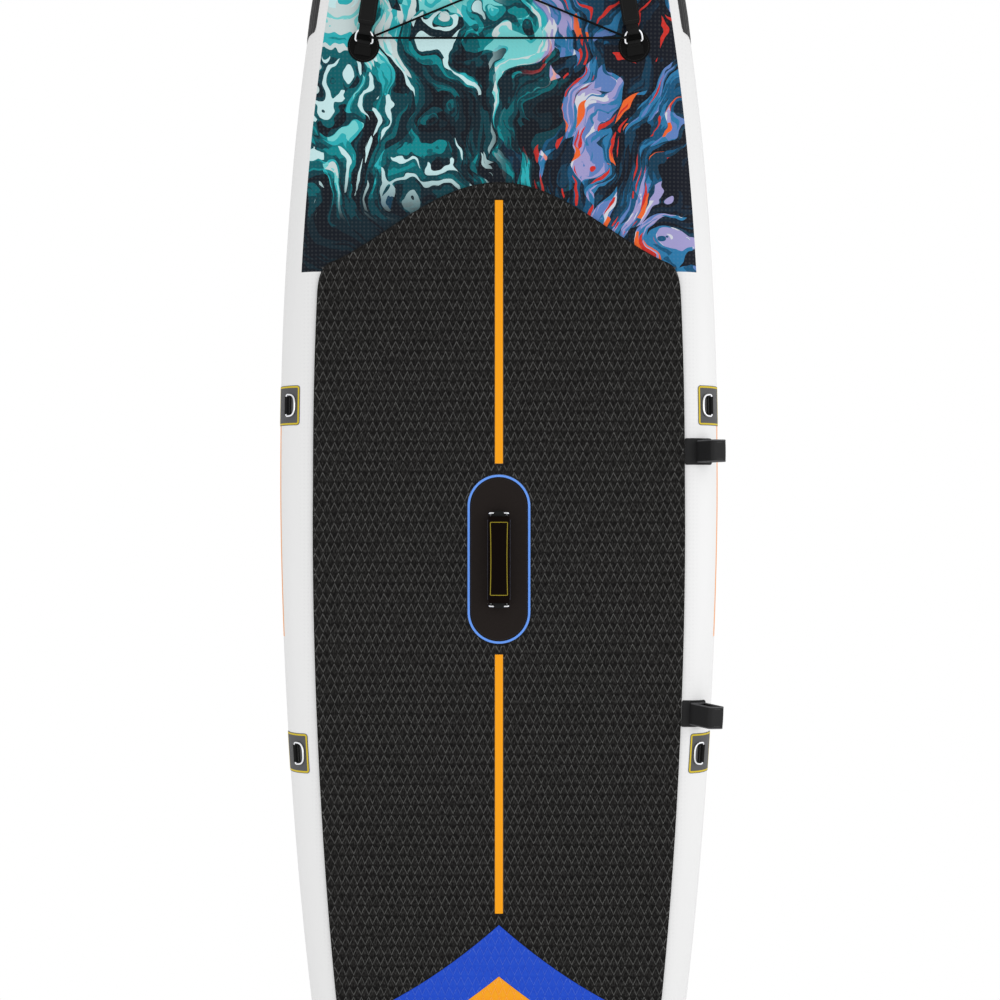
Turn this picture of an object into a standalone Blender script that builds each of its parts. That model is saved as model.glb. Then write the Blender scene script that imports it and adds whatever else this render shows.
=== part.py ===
"""An inflatable stand-up paddle board, in metres, with +Z up.

The nose points along +Y and the deck faces up. The origin lies on the flat of the hull at
half the board's length. Each piece is an object of its own, and a piece that swings or
slides has its origin on its joint's axis.
"""

import math

import bmesh
import bpy
from mathutils import Matrix, Vector

# Board
BOARD_LENGTH = 3.35
BOARD_WIDTH = 0.838
BOARD_THICKNESS = 0.150
WIDE_POINT = 0.105
NOSE_FULLNESS = 2.28
TAIL_OVERRUN = 0.12
TAIL_FULLNESS = 1.70
TAIL_ROUNDNESS = 0.40
TAIL_CORNER = 0.15
NOSE_ROCKER = 0.17
NOSE_ROCKER_START = 0.45
NOSE_ROCKER_POWER = 2.2
TAIL_ROCKER = 0.030
TAIL_ROCKER_START = -0.95
TAIL_ROCKER_EASE = 0.20
STATIONS = 18

# Walls
GAP = 0.0003
BORE_GAP = 0.0006
BORE_CORNER = 0.0006
SKIN = 0.0007
CHAMBER_WALL = 0.0008
SEAM_ANGLE = 24
DECK_ANGLES = (46, 68, 90)

# Deck pad
PAD_THICKNESS = 0.0050
PAD_INSET = 0.0725
PAD_TAPER = 0.0146
PAD_TAPER_RUN = 0.95
PAD_SEAM = 0.0004
PAD_SHOULDER = 0.516
PAD_BELL = 0.161
BELL_PAST_SIDE = 0.0236
BELL_POWER = 1.6
BELL_CORNER = 0.0214
SHOULDER_ROUND = 0.046
PAD_END_FROM_TAIL = 0.25
PAD_END_ROUND = 0.06
BLUE_APEX = -0.706
BLUE_SLOPE = 0.70
ORANGE_APEX = -0.802
ORANGE_SLOPE = 0.744
ORANGE_BAND = 0.096
STRIPE_WIDTH = 0.015
STRIPE_CORNER = 0.0008
GROOVE_BELOW = 0.01
GROOVE_ABOVE = 0.05
FRONT_STRIPE = (0.154, 0.644)
REAR_STRIPE = (-0.6845, -0.202)

# Carry handle
HANDLE_Y = -0.0243
HANDLE_PATCH_LENGTH = 0.315
HANDLE_PATCH_WIDTH = 0.117
HANDLE_BORDER = 0.0043
HANDLE_PATCH_THICKNESS = 0.0040
GRIP_END_GAP = 0.006
GRIP_WIDTH = 0.041
GRIP_THICKNESS = 0.014
GRIP_ROUND = 0.005
GRIP_END_SCALE = 0.86
GRIP_ARCH = 0.005
HANDLE_STRAP_WIDTH = 0.030
HANDLE_RING_RISE = 0.018
HANDLE_RING_LEAN = 12
HANDLE_RING_SPAN = 0.172
HANDLE_RING_WIDTH = 0.036
HANDLE_TAB_LENGTH = 0.022

# Rings and webbing
WIRE = 0.0020
WIRE_SIDES = 8
EYE = 0.00250
WEBBING = 0.0009
STRAP_WEBBING = 0.0015
PATCH = 0.0010
RING_CORNER = 0.003
RING_FULLNESS = 3.0
TAB_PLAY = 0.0005
SEWN = 0.0004

# Rings on the rails
RAIL_RING_SPOTS = {"front": 0.264, "rear": -0.391}
RAIL_RING_WIDTH = 0.040
RAIL_RING_DEPTH = 0.020
RAIL_RING_ANGLE = 45
RAIL_PATCH_ANGLES = (12, 62)
RAIL_PATCH_CORNER = 2.5
RAIL_PATCH_LENGTH = 0.075
RAIL_TAB_LENGTH = 0.0095

# Tow ring and leash ring
TOW_RING_FROM_NOSE = 0.215
LEASH_RING_FROM_TAIL = 0.125
END_PATCH_RADIUS = 0.029
END_RING_WIDTH = 0.036
END_RING_DEPTH = 0.020
END_TAB_LENGTH = 0.018

# Cargo lashing
CARGO_X = 0.2507
CARGO_Y = 0.926
CARGO_RUN = 0.209
CARGO_LEAN = 10
CARGO_PATCH_RADIUS = 0.0295
CARGO_RING_WIDTH = 0.032
CARGO_RING_DEPTH = 0.022
CARGO_RING_TILT = 30
CARGO_TAB_LENGTH = 0.0215
CARGO_BAR_OFFSET = 0.0066
CARGO_STRAP_WIDTH = 0.0215
CARGO_EYE_SHIFT = (-0.0014, -0.0007)
CARGO_EYE_REACH = 0.0047
CARGO_EYE_HEIGHT = 0.0036
CARGO_EYE_LENGTH = 0.012
CARGO_SLEEVE_WIDTH = 0.032
CARGO_SLEEVE_THICKNESS = 0.010
CARGO_SLEEVE_ROUND = 0.0035
CARGO_SLEEVE_END_SCALE = 0.84
CARGO_SLEEVE_LENGTH = 0.140
CORD = 0.0020
CORD_HOOK = 0.0118
CORD_CLEAR = 0.0005
FERRULE_LENGTH = 0.020
FERRULE_WALL = 0.0014

# Paddle holders
HOLDER_SPOTS = {"front": 0.177, "rear": -0.316}
HOLDER_PATCH_LOW = 41
HOLDER_PATCH_PAD_GAP = 0.002
HOLDER_PATCH_LENGTH = 0.050
HOLDER_PATCH = 0.0012
HOLDER_LENGTH = 0.0415
HOLDER_FOOT_ANGLES = (46, 70.5)
HOLDER_INNER_WALL = {"front": (0.0215, 0.0435), "rear": (0.0265, 0.0420)}
HOLDER_OUTER_WALL = {"front": (0.0225, 0.0490), "rear": (0.0275, 0.0475)}
HOLDER_WALL = 0.0024
HOLDER_ROUND = 0.007

# Rail guard
GUARD_START = 0.950
GUARD_LEAD = 0.013
GUARD_RIBS = (
    (-44, 0.0012),
    (-39, 0.0028),
    (-17, 0.0028),
    (-13, 0.0016),
    (13, 0.0016),
    (17, 0.0028),
    (39, 0.0028),
    (44, 0.0012),
)

# Inflation valve
VALVE_FROM_TAIL = 0.200
VALVE_HOLE_REACH = 0.02
VALVE_TUBE = 0.0175
VALVE_BORE = 0.0150
VALVE_DEPTH = 0.024
VALVE_FLANGE = 0.0270
VALVE_FLANGE_HEIGHT = 0.0050
VALVE_FLANGE_EDGE = 0.0016
VALVE_FLANGE_SLOPE = 0.0050
VALVE_WEB_DEPTH = 0.010
VALVE_WEB = 0.003
VALVE_AIR_HOLE = 0.0040
VALVE_AIR_HOLE_X = 0.0094
VALVE_STEM = 0.0035
VALVE_CAP = 0.0215
VALVE_CAP_HEIGHT = 0.0045
VALVE_PLUG_DEPTH = 0.003
VALVE_HINGE_REACH = 0.0310
VALVE_PIN = 0.0012
VALVE_BARREL = 0.0026
VALVE_BARREL_WIDTH = 0.008
VALVE_LUG_WIDTH = 0.003

# Fins
FIN_BOX_FROM_TAIL = 0.335
FIN_BOX_FLANGE = (0.074, 0.280)
FIN_BOX_FLANGE_HEIGHT = 0.0025
FIN_BOX_FLANGE_ROUND = 0.03
FIN_BOX_BODY_ROUND = 0.012
FIN_BOX_BODY = (0.028, 0.246)
FIN_BOX_HEIGHT = 0.0215
FIN_SLOT = (0.0100, 0.222)
FIN_TRACK_WIDTH = 0.0146
FIN_TRACK_HEIGHT = 0.0044
FIN_TRACK_DEPTH = 0.0060
FIN_SLOT_ROOF = 0.0050
FIN_SLIDE_GAP = 0.0003
FIN_JOIN = 0.004
FIN_PEG_INSET = 0.012
FIN_TAB = (-0.075, 0.045)
FIN_LUG_END = 0.099
FIN_LUG_THICKNESS = 0.0030
FIN_SCREW_Y = 0.092
FIN_SCREW = 0.0019
FIN_SCREW_HEAD = (0.0042, 0.0032)
FIN_NUT_LENGTH = 0.013
FIN_DEPTH = 0.200
FIN_CHORD = 0.160
FIN_RAKE = 0.235
FIN_THICKNESS = 0.0088
SIDE_FIN_X = 0.165
SIDE_FIN_FROM_TAIL = 0.365
SIDE_FIN_TOE = 3
SIDE_FIN_DEPTH = 0.112
SIDE_FIN_CHORD = 0.112
SIDE_FIN_RAKE = 0.090
SIDE_FIN_THICKNESS = 0.0060
SIDE_FIN_BASE = (0.034, 0.150)
SIDE_FIN_BASE_HEIGHT = 0.0022

RAIL = BOARD_THICKNESS / 2
NOSE_Y = BOARD_LENGTH / 2
TAIL_Y = -BOARD_LENGTH / 2
DECK = BOARD_THICKNESS
PAD_TOP = DECK + GAP + PAD_THICKNESS
EYE_HEIGHT = EYE + WEBBING
GRIP_LENGTH = HANDLE_RING_SPAN - 2 * GRIP_END_GAP


def material(name, colour, roughness, metallic=0.0):
    made = bpy.data.materials.new(name)
    made.use_nodes = True
    shader = made.node_tree.nodes["Principled BSDF"]
    shader.inputs["Base Color"].default_value = (*colour, 1)
    shader.inputs["Roughness"].default_value = roughness
    shader.inputs["Metallic"].default_value = metallic
    made.diffuse_color = (*colour, 1)
    return made


def add(name, bm, surface, matrix=None, fix_normals=True):
    """Turns a bmesh into a linked object with its surface and its place."""
    if fix_normals:
        bmesh.ops.recalc_face_normals(bm, faces=bm.faces)
        if bm.calc_volume(signed=True) < 0:
            bmesh.ops.reverse_faces(bm, faces=bm.faces)
    mesh = bpy.data.meshes.new(name)
    bm.to_mesh(mesh)
    bm.free()
    mesh.materials.append(surface)
    mesh.shade_smooth()
    mesh.set_sharp_from_angle(angle=math.radians(32))
    made = bpy.data.objects.new(name, mesh)
    bpy.context.scene.collection.objects.link(made)
    if matrix is not None:
        made.matrix_world = matrix
    return made


def combine(target, tool, operation):
    """A Boolean that keeps its tool as a hidden wire."""
    change = target.modifiers.new(operation.title(), "BOOLEAN")
    change.operation = operation
    change.object = tool
    tool.hide_render = True
    tool.display_type = "WIRE"


# The board's outline in plan, its rocker and its rail


def half_width(y):
    ahead = y - WIDE_POINT
    if ahead >= 0:
        share = ahead / (NOSE_Y - WIDE_POINT)
        return BOARD_WIDTH / 2 * math.sqrt(max(0, 1 - share**NOSE_FULLNESS))
    share = -ahead / (WIDE_POINT - TAIL_Y + TAIL_OVERRUN)
    side = BOARD_WIDTH / 2 * (1 - share**TAIL_FULLNESS) ** TAIL_ROUNDNESS
    corner = min(1, (y - TAIL_Y) / TAIL_CORNER)
    return side * math.sqrt(max(0, 1 - (1 - corner) ** 2))


def outline(u):
    """The right side of the outline, from the tail at u = -1 to the nose at u = 1."""
    reach = NOSE_Y - WIDE_POINT if u > 0 else WIDE_POINT - TAIL_Y
    y = WIDE_POINT + reach * math.sin(u * math.pi / 2)
    return Vector((half_width(y), y))


def outward(u):
    """The outline's normal in plan."""
    if abs(u) > 1 - 1e-9:
        return Vector((0, math.copysign(1, u)))
    step = 1e-4
    along = outline(min(1, u + step)) - outline(max(-1, u - step))
    return Vector((along.y, -along.x)).normalized()


def place_along(y, inset=0.0):
    """The u at which the outline, moved inward by inset, reaches y."""
    low, high = -1.0, 1.0
    for _ in range(40):
        middle = (low + high) / 2
        if (outline(middle) - outward(middle) * inset).y < y:
            low = middle
        else:
            high = middle
    return (low + high) / 2


def rocker(y):
    ahead = y - NOSE_ROCKER_START
    behind = TAIL_ROCKER_START - y
    if ahead > 0:
        return NOSE_ROCKER * (ahead / (NOSE_Y - NOSE_ROCKER_START)) ** NOSE_ROCKER_POWER
    if behind <= 0:
        return 0.0
    slope = TAIL_ROCKER / (TAIL_ROCKER_START - TAIL_Y - TAIL_ROCKER_EASE / 2)
    if behind < TAIL_ROCKER_EASE:
        return slope * behind**2 / (2 * TAIL_ROCKER_EASE)
    return slope * (behind - TAIL_ROCKER_EASE / 2)


def rail_point(u, angle, out, side=1):
    """A point on the rail, angle degrees above its widest line and out beyond its surface."""
    turn = math.radians(angle)
    plan = outline(u) - outward(u) * (RAIL - (RAIL + out) * math.cos(turn))
    return Vector((side * plan.x, plan.y, RAIL + (RAIL + out) * math.sin(turn) + rocker(plan.y)))


STATION_Y = sorted(rail_point(k / STATIONS, 90, 0).y for k in range(-STATIONS, STATIONS + 1))
STATION_RISE = [rocker(y) for y in STATION_Y]


def rise(y):
    """The height of the flat strips between stations above the flat of the hull."""
    y = min(max(y, STATION_Y[0]), STATION_Y[-1])
    k = 0
    while k < len(STATION_Y) - 2 and STATION_Y[k + 1] < y:
        k += 1
    share = (y - STATION_Y[k]) / (STATION_Y[k + 1] - STATION_Y[k])
    return STATION_RISE[k] + share * (STATION_RISE[k + 1] - STATION_RISE[k])


def fold_lines():
    """The stations at which the deck's strips change their slope."""
    slopes = []
    for k in range(len(STATION_Y) - 1):
        slopes.append((STATION_RISE[k + 1] - STATION_RISE[k]) / (STATION_Y[k + 1] - STATION_Y[k]))
    return [STATION_Y[k] for k in range(1, len(slopes)) if abs(slopes[k] - slopes[k - 1]) > 1e-4]


def drape(bm):
    """Folds a piece drawn over a level deck onto the deck's strips."""
    low = min(v.co.y for v in bm.verts)
    high = max(v.co.y for v in bm.verts)
    for y in fold_lines():
        if low < y < high:
            everything = bm.verts[:] + bm.edges[:] + bm.faces[:]
            bmesh.ops.bisect_plane(bm, geom=everything, dist=1e-6, plane_co=(0, y, 0), plane_no=(0, 1, 0))
    for v in bm.verts:
        v.co.z += rise(v.co.y)


def frame(origin, b, n):
    """A matrix whose Y is b and whose Z is n."""
    a = b.cross(n)
    columns = Matrix((a, b, n)).transposed().to_4x4()
    columns.translation = origin
    return columns


def deck_frame(x, y, heading, reach, level=DECK):
    """A frame on the deck's strips: Y along heading in plan, Z square to the deck."""
    slope = (rise(y + reach) - rise(y - reach)) / (2 * reach)
    height = level + (rise(y + reach) + rise(y - reach)) / 2
    n = Vector((0, -slope, 1)).normalized()
    b = Vector((heading[0], heading[1], heading[1] * slope)).normalized()
    return frame(Vector((x, y, height)), b, n)


def rail_frame(u, angle, out, side):
    """A frame on the rail: Y runs up the rail to the deck, Z points out of the rail."""
    step = 0.01
    here = rail_point(u, angle, out, side)
    n = (rail_point(u, angle, out + step, side) - here).normalized()
    up = rail_point(u, angle + step, out, side) - here
    b = (up - n * up.dot(n)).normalized()
    return frame(here, b, n)


# Shapes that several pieces share


def loop(bm, points):
    return [bm.verts.new(point) for point in points]


def wrap(bm, rows, closed=False):
    """Faces between rows of vertices that each run round in a ring."""
    following = rows[1:] + rows[:1] if closed else rows[1:]
    for low, high in zip(rows, following):
        for i in range(len(low)):
            j = (i + 1) % len(low)
            bm.faces.new((low[i], low[j], high[j], high[i]))


def slab(outlines, low, high, axis="Z"):
    """A plate between two levels. The first outline is its edge, the others are its holes."""
    order = {"Z": (0, 1, 2), "X": (2, 0, 1)}[axis]
    bm = bmesh.new()
    above = {}
    edges = []
    for points in outlines:
        bottom = loop(bm, [(p[0], p[1], low) for p in points])
        top = loop(bm, [(p[0], p[1], high) for p in points])
        above.update(zip(bottom, top))
        wrap(bm, [bottom, top])
        edges += [bm.edges.get((a, b)) for a, b in zip(bottom, bottom[1:] + bottom[:1])]
    if len(outlines) == 1:
        caps = [bm.faces.new(list(above))]
    else:
        filled = bmesh.ops.triangle_fill(bm, use_beauty=True, edges=edges)["geom"]
        caps = [face for face in filled if isinstance(face, bmesh.types.BMFace)]
    for face in caps:
        bm.faces.new([above[v] for v in reversed(face.verts[:])])
    for v in bm.verts:
        v.co = Vector((v.co[order[0]], v.co[order[1]], v.co[order[2]]))
    return bm


def turned(profile, steps, closed=False):
    """A turned piece. Each profile point is a radius and a height; radius 0 is on the axis."""
    bm = bmesh.new()
    rows = []
    for radius, height in profile:
        count = steps if radius else 1
        angles = [2 * math.pi * i / steps for i in range(count)]
        rows.append(loop(bm, [(radius * math.cos(a), radius * math.sin(a), height) for a in angles]))
    following = rows[1:] + rows[:1] if closed else rows[1:]
    for low, high in zip(rows, following):
        for i in range(steps):
            j = (i + 1) % steps
            corners = (low[i % len(low)], low[j % len(low)], high[j % len(high)], high[i % len(high)])
            bm.faces.new(tuple(dict.fromkeys(corners)))
    return bm


def arc(centre, radius, start, end, steps):
    angles = [math.radians(start + (end - start) * i / steps) for i in range(steps + 1)]
    return [(centre[0] + radius * math.cos(a), centre[1] + radius * math.sin(a)) for a in angles]


def stadium(width, length, centre_y, steps=10):
    radius = width / 2
    reach = length / 2 - radius
    front = arc((0, centre_y + reach), radius, 0, 180, steps)
    return front + arc((0, centre_y - reach), radius, 180, 360, steps)


def rounded(width, length, radius, centre=(0, 0), steps=3):
    """A rectangle with rounded corners."""
    points = []
    for i, (sx, sy) in enumerate(((1, 1), (-1, 1), (-1, -1), (1, -1))):
        corner = (centre[0] + sx * (width / 2 - radius), centre[1] + sy * (length / 2 - radius))
        points += arc(corner, radius, 90 * i, 90 * i + 90, steps)
    return points


def curve_between(start, corner, end, steps):
    """Points on the quadratic curve that leaves start and meets end, drawn towards corner."""
    points = []
    for i in range(steps + 1):
        t = i / steps
        weights = ((1 - t) ** 2, 2 * t * (1 - t), t**2)
        points.append(tuple(sum(w * p[k] for w, p in zip(weights, (start, corner, end))) for k in (0, 1)))
    return points


def wire_ring(path, radius, sides):
    """A closed wire along a path in the XY plane."""
    bm = bmesh.new()
    rows = []
    count = len(path)
    for i in range(count):
        here = Vector((*path[i], 0))
        before = (here - Vector((*path[i - 1], 0))).normalized()
        after = (Vector((*path[(i + 1) % count], 0)) - here).normalized()
        along = (before + after).normalized()
        across = along.cross(Vector((0, 0, 1)))
        stretch = 1 / max(0.5, along.dot(after))
        row = []
        for k in range(sides):
            turn = 2 * math.pi * (k + 0.5) / sides
            lift = Vector((0, 0, radius * math.sin(turn)))
            row.append(here + across * radius * stretch * math.cos(turn) + lift)
        rows.append(loop(bm, row))
    wrap(bm, rows, closed=True)
    return bm


def d_path(width, depth):
    """The middle line of a D-ring: its bar on the X axis, its arch towards +Y."""
    half = width / 2
    points = arc((-half + RING_CORNER, RING_CORNER), RING_CORNER, 180, 270, 2)
    points += arc((half - RING_CORNER, RING_CORNER), RING_CORNER, 270, 360, 2)
    for i in range(1, 10):
        turn = math.pi * i / 10
        x = half * math.copysign(abs(math.cos(turn)) ** (2 / RING_FULLNESS), math.cos(turn))
        points.append((x, RING_CORNER + (depth - RING_CORNER) * math.sin(turn) ** (2 / RING_FULLNESS)))
    return points


def tab(ring_width, length):
    """Webbing folded round a ring's bar along X. Its sewn end runs towards +Y on the plane Z = 0."""
    width = ring_width - 2 * RING_CORNER - 2 * TAB_PLAY
    outer = EYE_HEIGHT
    start = math.degrees(math.asin((2 * WEBBING - outer) / outer))
    edge = arc((0, outer), outer, start, 270, 8)
    edge = [(length, 0), (length, 2 * WEBBING)] + edge
    return slab([edge, arc((0, outer), EYE, 0, 330, 11)], -width / 2, width / 2, "X")


def strap_edge(centres, eye, half):
    """The outline of a strap from the side. Its two ends open round the first and last centres."""
    turn = math.degrees(math.asin(half / eye[1]))
    top = [(y, z + half) for y, z in centres[1:-1]]
    bottom = [(y, z - half) for y, z in centres[1:-1]]
    first = [(y * eye[0] / eye[1], z) for y, z in arc((0, 0), eye[1], -turn, turn - 360, 10)]
    last = [(-y, -z) for y, z in first]
    edge = [(centres[0][0] + y, centres[0][1] + z) for y, z in first] + top
    return edge + [(centres[-1][0] + y, centres[-1][1] + z) for y, z in last] + bottom[::-1]


def oval(centre, reach, height, steps=12):
    points = arc((0, 0), 1, 0, 360 - 360 / steps, steps - 1)
    return [(centre[0] + reach * y, centre[1] + height * z) for y, z in points]


def sleeve(centres, outer, inner, end_scale):
    """A padded tube along centres in the YZ plane, with sections drawn as (X, Z)."""
    bm = bmesh.new()
    outside = []
    inside = []
    for i, (y, z) in enumerate(centres):
        scale = end_scale if i in (0, len(centres) - 1) else 1
        outside.append(loop(bm, [(x * scale, y, z + h * scale) for x, h in outer]))
        inside.append(loop(bm, [(x, y, z + h) for x, h in inner]))
    wrap(bm, outside)
    wrap(bm, inside)
    for k in (0, -1):
        ends = [pair for row in (outside[k], inside[k]) for pair in zip(row, row[1:] + row[:1])]
        edges = [bm.edges.get(pair) for pair in ends]
        bmesh.ops.triangle_fill(bm, use_beauty=True, edges=edges, normal=(0, 1, 0))
    return bm


def offset_loop(points, distance):
    """The loop moved inward by distance, for a loop that runs anticlockwise."""
    moved = []
    for i, (x, y) in enumerate(points):
        here = Vector((x, y))
        before = (here - Vector(points[i - 1])).normalized()
        after = (Vector(points[(i + 1) % len(points)]) - here).normalized()
        inward = Vector((-before.y - after.y, before.x + after.x)).normalized()
        stretch = 1 / max(0.4, inward.dot(Vector((-after.y, after.x))))
        moved.append(tuple(here + inward * distance * stretch))
    return moved


# Clear the scene

for old in list(bpy.data.objects):
    bpy.data.objects.remove(old, do_unlink=True)

WHITE = material("white_pvc", (0.82, 0.83, 0.84), 0.38)
CLOTH = material("chamber_fabric", (0.72, 0.73, 0.72), 0.70)
GUARD = material("guard_black", (0.028, 0.028, 0.03), 0.45)
FOAM = material("pad_foam", (0.018, 0.017, 0.016), 0.85)
BLUE = material("foam_blue", (0.025, 0.092, 0.63), 0.80)
ORANGE = material("foam_orange", (0.97, 0.36, 0.02), 0.80)
BROWN = material("handle_patch_brown", (0.019, 0.013, 0.011), 0.65)
BORDER = material("border_blue", (0.138, 0.356, 0.956), 0.60)
GREY = material("ring_patch_grey", (0.102, 0.102, 0.102), 0.60)
WEB = material("black_webbing", (0.015, 0.015, 0.015), 0.80)
NEOPRENE = material("grip_neoprene", (0.010, 0.0045, 0.004), 0.80)
STEEL = material("stainless_steel", (0.62, 0.62, 0.60), 0.22, 1.0)
CORD_BLACK = material("bungee_black", (0.012, 0.012, 0.012), 0.75)
PLASTIC = material("black_plastic", (0.02, 0.02, 0.022), 0.40)
VALVE_GREY = material("valve_grey", (0.16, 0.165, 0.17), 0.40)

# Skins and air chamber


def rail_row(bm, angle, out):
    right = [rail_point(1 - k / STATIONS, angle, out) for k in range(2 * STATIONS + 1)]
    left = [Vector((-p.x, p.y, p.z)) for p in right[-2:0:-1]]
    return loop(bm, right + left)


def flat_strips(bm, row):
    """Level strips from rail to rail, between one station and the next."""
    for k in range(2 * STATIONS):
        corners = (row[k], row[k + 1], row[-k - 1], row[-k])
        bm.faces.new(tuple(dict.fromkeys(corners)))


def skin(name, direction):
    """The deck's skin (direction 1) or the hull's (-1), from the seam on one rail to the other."""
    bm = bmesh.new()
    angles = (SEAM_ANGLE + seam_gap, *DECK_ANGLES)
    outer = [rail_row(bm, direction * angle, 0) for angle in angles]
    inner = [rail_row(bm, direction * angle, -SKIN) for angle in angles]
    wrap(bm, outer)
    wrap(bm, inner)
    wrap(bm, [outer[0], inner[0]])
    flat_strips(bm, outer[-1])
    flat_strips(bm, inner[-1])
    return add(name, bm, WHITE)


seam_gap = math.degrees(GAP / RAIL / 2)
deck_skin = skin("deck_skin", 1)
hull_skin = skin("hull_skin", -1)

wall = bmesh.new()
wall_angles = (seam_gap - SEAM_ANGLE, 0, SEAM_ANGLE - seam_gap)
wall_rows = [rail_row(wall, angle, 0) for angle in wall_angles]
wall_rows += [rail_row(wall, angle, -SKIN) for angle in reversed(wall_angles)]
wrap(wall, wall_rows, closed=True)
add("rail_wall", wall, WHITE)

chamber = bmesh.new()
outer_angles = [-angle for angle in reversed(DECK_ANGLES)] + [-SEAM_ANGLE, 0, SEAM_ANGLE, *DECK_ANGLES]
inner_angles = [-DECK_ANGLES[-1], -DECK_ANGLES[0], -SEAM_ANGLE, SEAM_ANGLE, DECK_ANGLES[0], DECK_ANGLES[-1]]
for angles, out in ((outer_angles, -SKIN - GAP), (inner_angles, -SKIN - GAP - CHAMBER_WALL)):
    before = set(chamber.faces)
    chamber_rows = [rail_row(chamber, angle, out) for angle in angles]
    wrap(chamber, chamber_rows)
    flat_strips(chamber, chamber_rows[0])
    flat_strips(chamber, chamber_rows[-1])
    shell = [face for face in chamber.faces if face not in before]
    bmesh.ops.recalc_face_normals(chamber, faces=shell)
bmesh.ops.reverse_faces(chamber, faces=shell)
air_chamber = add("air_chamber", chamber, CLOTH, fix_normals=False)

# Rail guard round the nose

guard = bmesh.new()
guard_clear = GUARD_START + GUARD_LEAD + 0.02
guard_u = [1 - k / STATIONS for k in range(STATIONS)]
guard_u = [u for u in guard_u if rail_point(u, 0, 0).y > guard_clear]
guard_places = [(u, u, 1) for u in reversed(guard_u)]
guard_places = [(place_along(GUARD_START + GUARD_LEAD), place_along(GUARD_START), 1)] + guard_places
guard_places += [(low, high, -1) for low, high, _ in reversed(guard_places[:-1])]
guard_inner = [(angle, GAP) for angle in (GUARD_RIBS[-1][0], SEAM_ANGLE, 0, -SEAM_ANGLE, GUARD_RIBS[0][0])]
guard_rows = []
for edge_u, middle_u, side in guard_places:
    row = []
    for angle, out in GUARD_RIBS + tuple(guard_inner):
        lead = abs(angle) / GUARD_RIBS[-1][0]
        row.append(rail_point(middle_u + lead * (edge_u - middle_u), angle, out, side))
    guard_rows.append(loop(guard, row))
wrap(guard, guard_rows)
guard.faces.new(guard_rows[0])
guard.faces.new(guard_rows[-1])
add("nose_rail_guard", guard, GUARD)

# Deck pad in four pieces, with grooves for the stripes and the handle patch


def pad_inset(y):
    """How far the pad stays inside the outline, less towards the tail."""
    return PAD_INSET - PAD_TAPER * min(1, max(0, (WIDE_POINT - y) / PAD_TAPER_RUN))


def pad_side(y):
    """Half the pad's width."""
    u = place_along(y, pad_inset(y))
    return (outline(u) - outward(u) * pad_inset(y)).x


def side_points(top, bottom):
    """Points down the pad's right edge."""
    steps = max(1, math.ceil((top - bottom) / 0.09))
    heights = [top + (bottom - top) * i / steps for i in range(steps + 1)]
    return [(pad_side(y), y) for y in heights]


def chevron_foot(apex, slope):
    """The height at which a chevron's edge meets the pad's side."""
    y = apex
    for _ in range(30):
        y = apex - slope * pad_side(y)
    return y


def pad_piece(name, half, surface):
    """A foam piece from the right half of its outline, front to back."""
    points = half + [(-x, y) for x, y in reversed(half) if x > 1e-6]
    bm = slab([points], DECK + GAP, PAD_TOP)
    drape(bm)
    return add(name, bm, surface)


def bell(x):
    """The pad's front edge at x from the middle line."""
    share = min(1, x / (pad_side(PAD_SHOULDER) + BELL_PAST_SIDE))
    return PAD_SHOULDER + PAD_BELL * math.cos(math.pi / 2 * share) ** BELL_POWER


orange_end = ORANGE_APEX - ORANGE_BAND
apexes = [BLUE_APEX, ORANGE_APEX, orange_end]
feet = [chevron_foot(y, slope) for y, slope in zip(apexes, (BLUE_SLOPE, ORANGE_SLOPE, ORANGE_SLOPE))]
bell_end = pad_side(PAD_SHOULDER) - BELL_CORNER
front_edge = [(bell_end * i / 11, bell(bell_end * i / 11)) for i in range(11)]
side_start = PAD_SHOULDER - SHOULDER_ROUND
corner_point = (pad_side(PAD_SHOULDER), bell(pad_side(PAD_SHOULDER)))
front_edge += curve_between((bell_end, bell(bell_end)), corner_point, (pad_side(side_start), side_start), 5)
front_half = front_edge + side_points(side_start, feet[0] + PAD_SEAM)[1:] + [(0, BLUE_APEX + PAD_SEAM)]
deck_pad = pad_piece("deck_pad", front_half, FOAM)
blue_half = [(0, apexes[0])] + side_points(feet[0], feet[1] + PAD_SEAM) + [(0, apexes[1] + PAD_SEAM)]
pad_piece("chevron_blue", blue_half, BLUE)
orange_half = [(0, apexes[1])] + side_points(feet[1], feet[2] + PAD_SEAM) + [(0, apexes[2] + PAD_SEAM)]
pad_piece("chevron_orange", orange_half, ORANGE)
pad_end = TAIL_Y + PAD_END_FROM_TAIL
end_corner = curve_between(
    (pad_side(pad_end + PAD_END_ROUND), pad_end + PAD_END_ROUND),
    (pad_side(pad_end), pad_end),
    (pad_side(pad_end) - PAD_END_ROUND, pad_end),
    6,
)
tail_half = [(0, apexes[2])] + side_points(feet[2], pad_end + PAD_END_ROUND)[:-1] + end_corner
pad_piece("tail_pad", tail_half, FOAM)

for name, (low, high) in {"stripe_front": FRONT_STRIPE, "stripe_rear": REAR_STRIPE}.items():
    centre = (0, (low + high) / 2)
    strip = slab([rounded(STRIPE_WIDTH, high - low, STRIPE_CORNER, centre, 1)], DECK + GAP, PAD_TOP)
    drape(strip)
    add(name, strip, ORANGE)
    groove_outline = rounded(STRIPE_WIDTH + 2 * GAP, high - low + 2 * GAP, STRIPE_CORNER, centre, 1)
    groove = slab([groove_outline], DECK - GROOVE_BELOW, PAD_TOP + GROOVE_ABOVE)
    combine(deck_pad, add(name + "_groove", groove, ORANGE), "DIFFERENCE")

# Carry handle

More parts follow.
